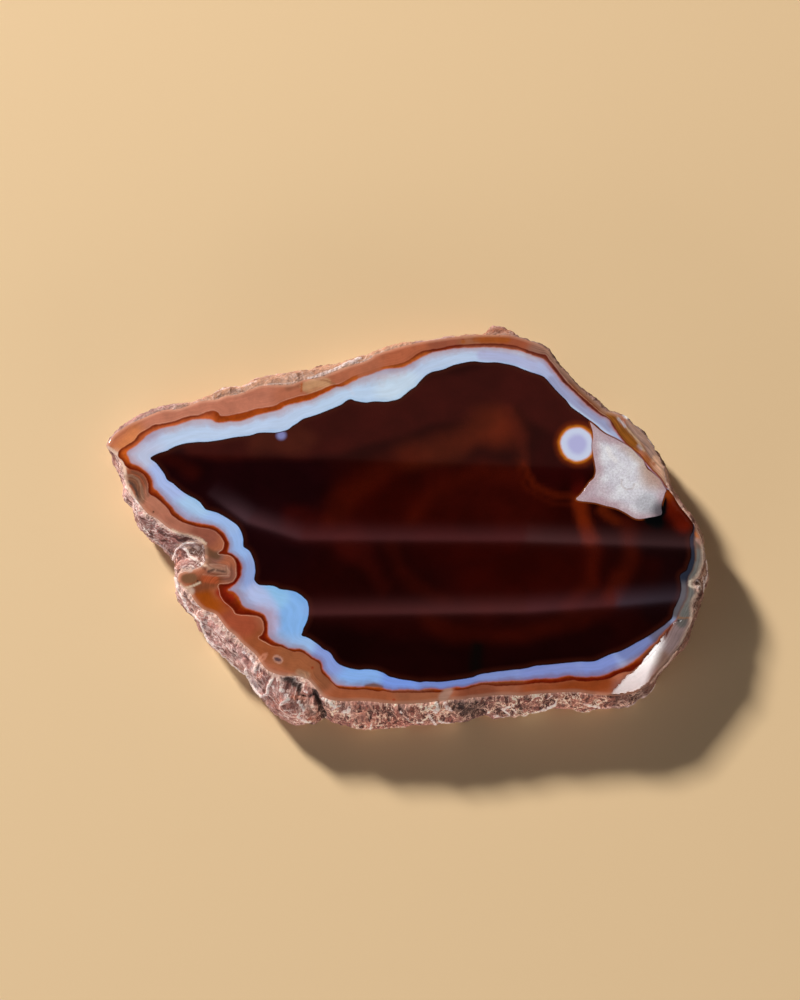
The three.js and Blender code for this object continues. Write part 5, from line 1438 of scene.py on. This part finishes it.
def with_eye(sheet, made):
    """The round eye beside the quartz: orange halo, white ring, lavender core.

    Each ring has the radius where it begins, the one where it is full, a strength and a colour.
    """
    across = (sheet.x - EYE[0]) * EYE_WIDTH
    up = sheet.y - EYE[1]
    wave = (sheet.cloudy(2.4, 2, 0.5, 11) - 0.5) * 0.7
    gap = sheet.maths("SQRT", across * across + up * up) + wave
    for begins, full, strength, tone in EYE_RINGS:
        made = sheet.mix(sheet.rise(gap, begins, full) * strength, made, colour(*tone))
    return made


print("eye of", len(EYE_RINGS), "rings")

# %% Colour the quartz
QUARTZ_TINTS_AND_SHADE = [
    ((62.6, 9.0), 1.6, 4.0, 0.75, (186, 152, 136)),
    ((48.5, 4.2), 1.0, 4.5, 0.5, (180, 144, 160)),
    # Painted shade: the grey spot and the dark spot at the lower right.
    ((60.6, 1.6), 1.6, 2.4, 0.7, (176, 180, 192)),
    ((64.0, -0.2), 0.8, 3.0, 0.85, (62, 60, 70)),
]
QUARTZ_STREAK = [(51.2, 16.6), (51.9, 14.6), (53.0, 13.2)]
# A painted glint on the quartz.
QUARTZ_GLINT = ((58.2, 6.4), 0.4, 0.8, 0.6, (240, 242, 250))
QUARTZ_ARC = [(54.4, 8.0), (54.3, 6.6), (55.4, 5.5), (57.0, 5.7), (57.6, 7.0)]


def quartz_colour(sheet, quartz):
    """Sugary quartz: cool white inside, mauve and tan at its border, grey painted shade at the lower right,
    painted glints.
    """
    clouds = sheet.cloudy(2.6, 5, 0.62, 13)
    made = sheet.mix(sheet.rise(clouds, 0.35, 0.65), colour(212, 212, 228), colour(236, 240, 252))
    tan = sheet.mix(sheet.spot(58.5, 12.5, 2.0, 7.0), colour(184, 152, 164), colour(194, 170, 156))
    made = sheet.mix(sheet.rise(quartz + (clouds - 0.5) * 2, 3.0, 0.3) * 0.8, made, tan)
    made = sheet.spotted(made, QUARTZ_TINTS_AND_SHADE)
    made = sheet.mix(sheet.line(QUARTZ_STREAK, 0.2, 0.8) * 0.6, made, colour(244, 244, 250))
    # The painted glint.
    made = sheet.spotted(made, [QUARTZ_GLINT])
    # White specks painted as the sparkle of the quartz grains.
    specks = sheet.rise(sheet.cloudy(1.0, 4, 0.8, 31), 0.56, 0.66)
    made = sheet.mix(specks * sheet.rise(quartz, 1.0, 3.5) * 0.7, made, colour(240, 244, 255))
    made = sheet.mix(sheet.line(QUARTZ_ARC, 0.08, 0.35) * 0.25, made, colour(150, 120, 108))
    grains = sheet.cloudy(0.5, 4, 0.7, 12)
    return sheet.shade(made, sheet.rise(grains, 0.28, 0.72, 0.78, 1.14))


# %% Lay the layers over each other
def layer_colours(sheet):
    """The stone's colour and the share of it that is quartz."""
    tremble = (sheet.cloudy(1.1, 3, 0.55, 3) - 0.5) * 0.34
    drift = (sheet.cloudy(3.6, 2, 0.5, 9) - 0.5) * 0.8
    rust = sheet.stored("to_rust") + tremble
    pale = sheet.stored("to_pale") + tremble * 1.3
    middle = sheet.stored("to_middle") + tremble * 0.4
    quartz = sheet.stored("to_quartz") + tremble * 0.3

    outer = outer_colour(sheet, rust, sheet.stored("to_edge"), drift)
    rusty = sheet.rise(rust, -0.16, 0.14) * (1 - sheet.stored("faded"))
    made = sheet.mix(rusty, outer, rust_colour(sheet, rust, pale))
    made = sheet.mix(sheet.rise(pale, -0.26, 0.36), made, pale_colour(sheet, pale, middle))
    made = sheet.mix(sheet.rise(middle, -0.07, 0.1), made, dark_colour(sheet, middle))
    made = with_eye(sheet, made)
    outline = sheet.pulse(quartz, -0.15, 0.12, 0.25) * (1 - sheet.spot(62.0, -0.6, 2.6, 1.0))
    made = sheet.mix(outline * 0.7, made, colour(128, 60, 20))
    inside = sheet.rise(quartz, -0.06, 0.08)
    return sheet.mix(inside, made, quartz_colour(sheet, quartz)), inside


print("pattern ready")

# %% [markdown]
# ## The finishes
#
# Three finishes share the stone. The face is polished, almost a mirror, with a frosted quartz patch. The
# base is the same pattern, dull from the saw. The bark is a rose-brown crust with cream threads over maroon
# troughs. Following the relief stored with it, painted shade lies in its low places and hollows, a painted
# highlight on its high places and cream on its veins. It is crispest on the near side, along the bottom and
# low on the far side. Last, every colour is multiplied by a power of its own brightness, which raises the
# contrast and keeps the hue.

# %% Polish the face and dull the base
STONE_IOR = 1.54
POLISHED = 0.035
FROSTED = 0.34
SAWN = 0.6
SAWN_VEIL = 0.24
SAW_STRETCH = (0.05, 1.6, 1.0)


def surface(sheet, base_colour, roughness, normal=None):
    """Ends a material with one shader."""
    sockets = {"Base Color": base_colour, "Roughness": roughness, "IOR": STONE_IOR}
    if normal is not None:
        sockets["Normal"] = normal
    shader = sheet.node("ShaderNodeBsdfPrincipled", None, sockets)
    sheet.node("ShaderNodeOutputMaterial", None, {"Surface": shader})


def polished_face():
    """A mirror polish over the layers, frosted on the quartz."""
    material = bpy.data.materials.new("polished_face")
    sheet = Finish(material)
    made, quartz = layer_colours(sheet)
    grain = sheet.cloudy(0.7, 4, 0.7, 14)
    roughness = POLISHED + quartz * sheet.rise(grain, 0.3, 0.7, FROSTED * 0.6, FROSTED * 1.3)
    surface(sheet, made, roughness, sheet.bump(grain * quartz, 0.5, 0.25))
    return material


def sawn_base():
    """The same layers under a dull veil, with the fine straight marks of the saw."""
    material = bpy.data.materials.new("sawn_base")
    sheet = Finish(material)
    made, _ = layer_colours(sheet)
    made = sheet.mix(SAWN_VEIL, made, colour(150, 120, 108))
    lines = sheet.noise(sheet.vector("MULTIPLY", sheet.place, SAW_STRETCH), 1.0, 3, 0.6, 15)
    roughness = sheet.rise(lines, 0.3, 0.7, SAWN - 0.08, SAWN + 0.12)
    surface(sheet, made, roughness, sheet.bump(lines, 0.3, 0.15))
    return material


face_finish = polished_face()
base_finish = sawn_base()
print("nodes of the face and the base:", [len(made.node_tree.nodes) for made in (face_finish, base_finish)])


# %% Gather what the steps of the bark share
def strands(sheet, stretch, seed):
    """Cloudy values on the unrolled rim, drawn out along it or down it."""
    wander = sheet.cloudy(3.0, 3, 0.5, seed).also("Color")
    place = sheet.vector("MULTIPLY", sheet.stored("unrolled", "Vector"), stretch)
    return sheet.noise(sheet.vector("ADD", place, wander), 1.0, 3, 0.5, seed)


class Bark(Finish):
    """The node tree of the bark: where it is crisp, its cream, its patches and its two grains."""

    def __init__(self, material):
        super().__init__(material)
        self.down = self.stored("down")
        near = self.rise(self.y, 24.0, 8.0, 0.3, 1.0)
        self.near_side = self.maths("MAXIMUM", near, self.rise(self.down, 3.0, 6.0, 0.0, 0.95))
        self.bottom = self.spot(18.0, -50.0, 14.0, 8.0, 2.4)
        cream = self.mix(self.bottom * 0.8, colour(238, 220, 210), colour(240, 204, 174))
        # On the right the cream turns darker: painted shade on the side turned from the key light.
        self.cream = self.mix(self.rise(self.x, 54.0, 64.0) * 0.8, cream, colour(190, 150, 122))
        self.clouds = self.cloudy(3.2, 4, 0.6, 21)
        self.patches = self.rise(self.cloudy(4.0, 3, 0.6, 22), 0.4, 0.6)
        self.fine = self.cloudy(0.7, 4, 0.65, 24)
        along = strands(self, (0.3, 0.3, 0.85), 25)
        self.grain = along + (strands(self, (0.7, 0.7, 0.4), 26) - along) * self.bottom
        self.crest = self.maths("ABSOLUTE", self.grain - 0.5)


# %% Colour the crust, its threads and the painted shade of its relief
MAROON = (98, 44, 38)


def crust(sheet):
    """The washes of the bark, rosier on the near side and along the bottom, with soft clouds."""
    rosy = sheet.near_side * 0.4 - 0.1 + sheet.bottom * 0.2
    made = sheet.mix(rosy, sheet.stored("bark_wash", "Color"), colour(162, 88, 70))
    return sheet.shade(made, sheet.rise(sheet.clouds, 0.35, 0.65, 0.78, 1.2))


def with_threads(sheet, made):
    """Maroon troughs, and cream threads that follow the strands."""
    troughs = sheet.rise(sheet.grain, 0.47, 0.37) * (sheet.near_side * 0.8 + 0.05)
    made = sheet.mix(troughs, made, colour(*MAROON))
    ridges = sheet.rise(sheet.grain, 0.56, 0.68) * sheet.near_side * (0.4 - sheet.bottom * 0.25)
    made = sheet.mix(ridges, made, sheet.cream)
    threads = sheet.maths("ABSOLUTE", strands(sheet, (0.7, 0.7, 1.8), 27) - 0.5)
    threads = sheet.rise(threads, 0.03, 0.012) * sheet.patches * sheet.near_side * 0.6
    made = sheet.mix(threads, made, sheet.cream)
    crests = sheet.rise(sheet.crest, 0.028, 0.01) * (sheet.patches * 0.6 + 0.25) * sheet.near_side
    return sheet.mix(crests, made, sheet.cream)


def with_relief_shading(sheet, made):
    """Painted shade in the low places and the sunk hollows, a painted highlight on the high places, cream on
    the veins.
    """
    height = sheet.stored("height")
    carve = sheet.stored("carve")
    # Painted shade in the low places of the relief, then a painted highlight on its high places.
    made = sheet.mix(sheet.rise(height, -0.1, -0.6) * 0.7, made, colour(*MAROON))
    made = sheet.mix(sheet.rise(height, 0.15, 0.5) * sheet.near_side * 0.3, made, sheet.cream)
    broken = sheet.rise(sheet.cloudy(0.7, 3, 0.6, 30), 0.36, 0.56, 0.35, 1.0)
    made = sheet.mix(sheet.rise(carve, 0.1, 0.28) * broken * 0.9, made, colour(238, 226, 222))
    # Painted shade in the sunk hollows.
    return sheet.mix(sheet.rise(carve, -0.15, -0.7) * 0.75, made, colour(60, 32, 26))


# %% Mark the bottom of the bark and its brim
SEAM_WANDER = 4.0
SEAM_SCALE = 0.2
BARK_DARK_SPOTS = [
    ((15.5, -48.5), 1.5, 5.5, 0.55, (64, 34, 38)),
    # Painted shade at the lower right corner of the bark.
    ((56.0, -49.0), 4.0, 4.0, 0.35, (56, 40, 34)),
]


def with_bottom_marks(sheet, made):
    """Cream seams and specks, small dark pits, a darker spot along the bottom and painted shade at its right
    corner.
    """
    bent = sheet.scaled(sheet.cloudy(2.2, 3, 0.6, 34).also("Color"), SEAM_WANDER)
    cells = {"Vector": sheet.vector("ADD", sheet.place, bent), "Scale": SEAM_SCALE}
    border = sheet.node("ShaderNodeTexVoronoi", {"feature": "DISTANCE_TO_EDGE"}, cells)
    seam = sheet.rise(border + (sheet.fine - 0.5) * 0.22, 0.04, 0.015)
    made = sheet.mix(seam * sheet.bottom * (sheet.patches * 0.8 + 0.2), made, sheet.cream)
    low = sheet.rise(sheet.down + (sheet.clouds - 0.5) * 8, 6.0, 10.0)
    specks = sheet.rise(sheet.cloudy(1.0, 3, 0.7, 33), 0.56, 0.59)
    made = sheet.mix(specks * sheet.bottom * (low * 0.6 + 0.1), made, sheet.cream)
    pits = sheet.rise(sheet.cloudy(1.4, 3, 0.7, 35), 0.43, 0.39)
    made = sheet.mix(pits * sheet.bottom * 0.45, made, colour(70, 32, 28))
    return sheet.spotted(made, BARK_DARK_SPOTS)


def with_brim(sheet, made):
    """A ragged light line under the polished face, broken off in the niche."""
    ragged = sheet.down + (sheet.cloudy(0.8, 4, 0.7, 29) - 0.5) * 1.6
    bare = sheet.near_side * (1 - sheet.spot(-51.0, -11.5, 2.6, 1.5))
    brim = sheet.rise(ragged, 0.55, 0.2) * bare * (0.7 - sheet.bottom * 0.35)
    return sheet.mix(brim, made, colour(232, 196, 174))


# %% Raise the contrast of the bark and end it
BARK_BRIGHTNESS = 0.26
BRIGHTNESS_SHARES = (0.4, 0.4, 0.2)
COOL_BARK = (0.93, 0.91, 0.98, 1.0)
ROSY_BARK = (0.96, 0.83, 0.85, 1.0)
LIGHTEST_BARK = (0.86, 0.76, 0.7)


def with_contrast(sheet, made):
    """Fine grains, then the colour times a power of its own brightness, kept below a limit."""
    made = sheet.shade(made, sheet.rise(sheet.fine, 0.35, 0.65, 0.82, 1.16))
    brightness = sheet.vector("DOT_PRODUCT", made, BRIGHTNESS_SHARES, take="Value") / BARK_BRIGHTNESS
    made = sheet.shade(made, brightness ** (sheet.bottom * 0.42 + sheet.near_side * 0.2))
    made = sheet.vector("MULTIPLY", made, sheet.mix(sheet.bottom, COOL_BARK, ROSY_BARK))
    return sheet.vector("MINIMUM", made, LIGHTEST_BARK)


def bark_finish(material):
    """Rose-brown crust with cream threads over maroon troughs, drawn veins and hollows."""
    sheet = Bark(material)
    made = crust(sheet)
    for step in (with_threads, with_relief_shading, with_bottom_marks, with_brim, with_contrast):
        made = step(sheet, made)
    grit = sheet.fine * 0.6 + sheet.grain * 0.8 - sheet.crest * 0.6
    surface(sheet, made, sheet.rise(sheet.fine, 0.3, 0.7, 0.66, 0.95), sheet.bump(grit, 1.0, 0.8))


bark_finish(bark)
for material in (face_finish, bark, base_finish):
    mesh.materials.append(material)
print([material.name for material in mesh.materials])

# %% [markdown]
# ## A map for baking
#
# For its colours to be baked into one picture, the skin needs a flat map. The face keeps most
# of it, seen straight from above, the rim is unrolled in two strips, and the base takes what is left.

# %% Lay out the map
FACE_SCALE = 0.0055
BASE_SCALE = 0.0022
STRIP_COUNT = 2
STRIP_HEIGHT = 0.062
STRIP_GAP = 0.008
MARGIN = 0.01


def flat_map(corners, scale, low):
    """Corners seen from above, at a scale, with their lowest line in place."""
    flat = skin[corners][:, :2]
    return (flat - skin[:, :2].min(axis=0)) * scale + [MARGIN, low]


def strip_map():
    """The rim unrolled: columns run along, rows run up, cut in strips."""
    per_strip = COLUMNS // STRIP_COUNT
    row, column = np.divmod(np.arange(len(rim_ids)), COLUMNS)
    strip, along = np.divmod(column, per_strip)
    u = MARGIN + (along[:, None] + [0, 1, 1, 0]) * (1 - 2 * MARGIN) / per_strip
    v = MARGIN + strip[:, None] * (STRIP_HEIGHT + STRIP_GAP)
    v = v + STRIP_HEIGHT * (1 - (row[:, None] + [0, 0, 1, 1]) / (ROWS - 1))
    return np.stack([u, v], axis=2).reshape(-1, 2)


strips_top = MARGIN + STRIP_COUNT * (STRIP_HEIGHT + STRIP_GAP)
base_top = strips_top + STRIP_GAP + np.ptp(skin[:, 1]) * BASE_SCALE
bake_map = np.vstack([
    strip_map(),
    flat_map(face_ids.ravel(), FACE_SCALE, base_top + STRIP_GAP),
    flat_map(base_ids.ravel(), BASE_SCALE, strips_top + STRIP_GAP),
])
mesh.uv_layers.new(name="OFBake").data.foreach_set("uv", bake_map.ravel())
print("map spans", bake_map.min(axis=0).round(3), bake_map.max(axis=0).round(3))

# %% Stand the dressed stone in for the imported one
dressed = bpy.data.objects.new("agate_slice_dressed", mesh)
bpy.context.scene.collection.objects.link(dressed)
mesh.validate()
mesh.update()
mesh.normals_split_custom_set(loop_normals(normals_of_facet).tolist())
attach(dressed, "root")
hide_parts("agate_slice")
print("dressed stone:", len(mesh.polygons), "faces")

# %% [markdown]
# ## Floor, lights and camera
#
# A plain pale floor, a soft key light from the upper left and two gentle fills. Above the stone hang seven
# thin lamps in two rows, a wide panel and one lamp for the ground facet. They are there for the polish,
# because a dark mirror shows only what it reflects.

# %% Lay the floor
FLOOR_SIZE = 4.0
SAND = (232, 203, 160)
MATT = 0.9

bpy.ops.mesh.primitive_plane_add(size=FLOOR_SIZE)
floor = bpy.context.object
floor.name = "floor"
floor_material = bpy.data.materials.new("pale_floor")
surface(Finish(floor_material), colour(*SAND), MATT)
floor.data.materials.append(floor_material)

# %% Place the camera
EYE_POINT = Vector((-1.5, -186.3, 534.05))
AIM_POINT = Vector((-1.5, 3.7, 12.0))
LENS_LENGTH = 80.0
SENSOR_WIDTH = 36.0

lens = bpy.data.cameras.new("camera")
lens.lens = LENS_LENGTH
lens.sensor_width = SENSOR_WIDTH
camera = bpy.data.objects.new("camera", lens)
camera.location = EYE_POINT * MM
camera.rotation_euler = (AIM_POINT - EYE_POINT).to_track_quat("-Z", "Y").to_euler()
bpy.context.scene.collection.objects.link(camera)
bpy.context.scene.camera = camera
bpy.context.scene.view_settings.view_transform = "Standard"
print("camera", round((AIM_POINT - EYE_POINT).length), "mm away")

# %% Hang the soft boxes
SOFT_BOXES = {
    "key": {"at": (-1550, 1750, 1130), "size": (340, 340), "power": 116.0, "tone": (1.0, 0.95, 0.88)},
    "left_fill": {"at": (-800, -900, 150), "size": (900, 240), "power": 7.6, "tone": (0.98, 0.97, 1.0)},
    "right_fill": {"at": (700, -800, 150), "size": (900, 240), "power": 4.8, "tone": (1.0, 0.93, 0.86)},
}
ROOM_GLOW = (0.008, 0.008, 0.008, 1.0)


def soft_box(name, size, power, tone):
    """An area light with its size in millimetres."""
    light = bpy.data.lights.new(name, "AREA")
    light.shape = "RECTANGLE"
    light.size, light.size_y = (side * MM for side in size)
    light.energy = power
    light.color = tone
    lamp = bpy.data.objects.new(name, light)
    bpy.context.scene.collection.objects.link(lamp)
    return lamp


for name, box in SOFT_BOXES.items():
    lamp = soft_box(name, box["size"], box["power"], box["tone"])
    lamp.location = Vector(box["at"]) * MM
    lamp.rotation_euler = (-lamp.location).to_track_quat("-Z", "Y").to_euler()
world = bpy.data.worlds.new("dim_room")
bpy.context.scene.world = world
world.use_nodes = True
world.node_tree.nodes["Background"].inputs["Color"].default_value = ROOM_GLOW
print("soft boxes:", ", ".join(SOFT_BOXES))

# %% Find what a point of the face mirrors
CEILING = 612.0
FACE_HEIGHT = 12.0


def mirrored(x, y, normal=UPWARD):
    """The point of the ceiling that the camera sees mirrored at a drawn point."""
    point = Vector((x, y, FACE_HEIGHT)) - Vector((*DRAWN_CENTRE, 0.0))
    away = (point - EYE_POINT).reflect(normal)
    return point.xy + away.xy * (CEILING - FACE_HEIGHT) / away.z


print("the middle of the face mirrors", [round(v) for v in mirrored(0, 0)])

# %% Hang the lamps that the polish shows
STRIPS = [
    {
        "path": [(-49.5, 4.3), (-39.5, -3.2), (-26.0, -7.8), (30.0, -8.2), (72.5, -9.8)],
        "glow": [0.4, 1.7, 1.3, 1.3, 1.0],
        "tones": [(1.0, 0.5, 0.6), (1.0, 0.4, 0.46), (1.0, 0.3, 0.32), (1.0, 0.46, 0.48)],
    },
    {
        "path": [(-25.0, -27.4), (30.0, -26.6), (52.0, -25.0), (69.0, -23.4)],
        "glow": [1.4, 1.7, 1.2, 0.9],
        "tones": [(1.0, 0.3, 0.3), (1.0, 0.32, 0.36), (0.8, 0.62, 0.84)],
    },
]
STRIP_DEPTH = 6.0
STRIP_FADE = 1.8
PANEL = {
    "path": [(-140, 18.4), (140, 7.5)],
    "glow": [0.22, 0.22],
    "tone": (1.0, 0.36, 0.3),
    "reach": 270.0,
    "fade": 0.2,
}
FLASH = {
    "path": [(61.8, -31.5), (47.6, -45.8)],
    "glow": [27.0, 13.0],
    "tone": (1.0, 1.0, 1.0),
    "reach": 80.0,
    "fade": 2.0,
}


def ceiling_lamp(name, path, glow, tone, reach, fade, normal=UPWARD):
    """A lamp mirrored between two drawn points, each with its glow, fading to one side of their line."""
    start, end = (mirrored(*point, normal) for point in path)
    run = end - start
    across = Vector((-run.y, run.x)).normalized()
    middle = (start + end) / 2 + across * reach / 2
    lamp = soft_box(name, (run.length, reach), math.pi * run.length * reach * MM * MM, tone)
    lamp.location = Vector((*middle, CEILING)) * MM
    lamp.rotation_euler = (0, 0, math.atan2(run.y, run.x))
    lamp.data.use_nodes = True
    lamp.data.node_tree.nodes.clear()
    sheet = Sheet(lamp.data.node_tree)
    across_lamp = sheet.node("ShaderNodeNewGeometry", take="Parametric")
    axes = sheet.node("ShaderNodeSeparateXYZ", None, {0: across_lamp})
    strength = sheet.rise(axes.also("X"), 0.0, 1.0, *glow) * (1 - axes.also("Y")) ** fade
    emission = sheet.node("ShaderNodeEmission", None, {"Strength": strength})
    sheet.node("ShaderNodeOutputLight", None, {"Surface": emission})


strip_reach = (mirrored(0, STRIP_DEPTH) - mirrored(0, 0)).length
number = 0
for strip in STRIPS:
    for path, glow, tone in zip(pairwise(strip["path"]), pairwise(strip["glow"]), strip["tones"]):
        ceiling_lamp(f"strip_{number}", path, glow, tone, strip_reach, STRIP_FADE)
        number += 1
ceiling_lamp("panel", **PANEL)
ceiling_lamp("facet_lamp", **FLASH, normal=facet_normal(FACET_TILT))
print(number, "strip lamps, each", round(strip_reach), "mm across")
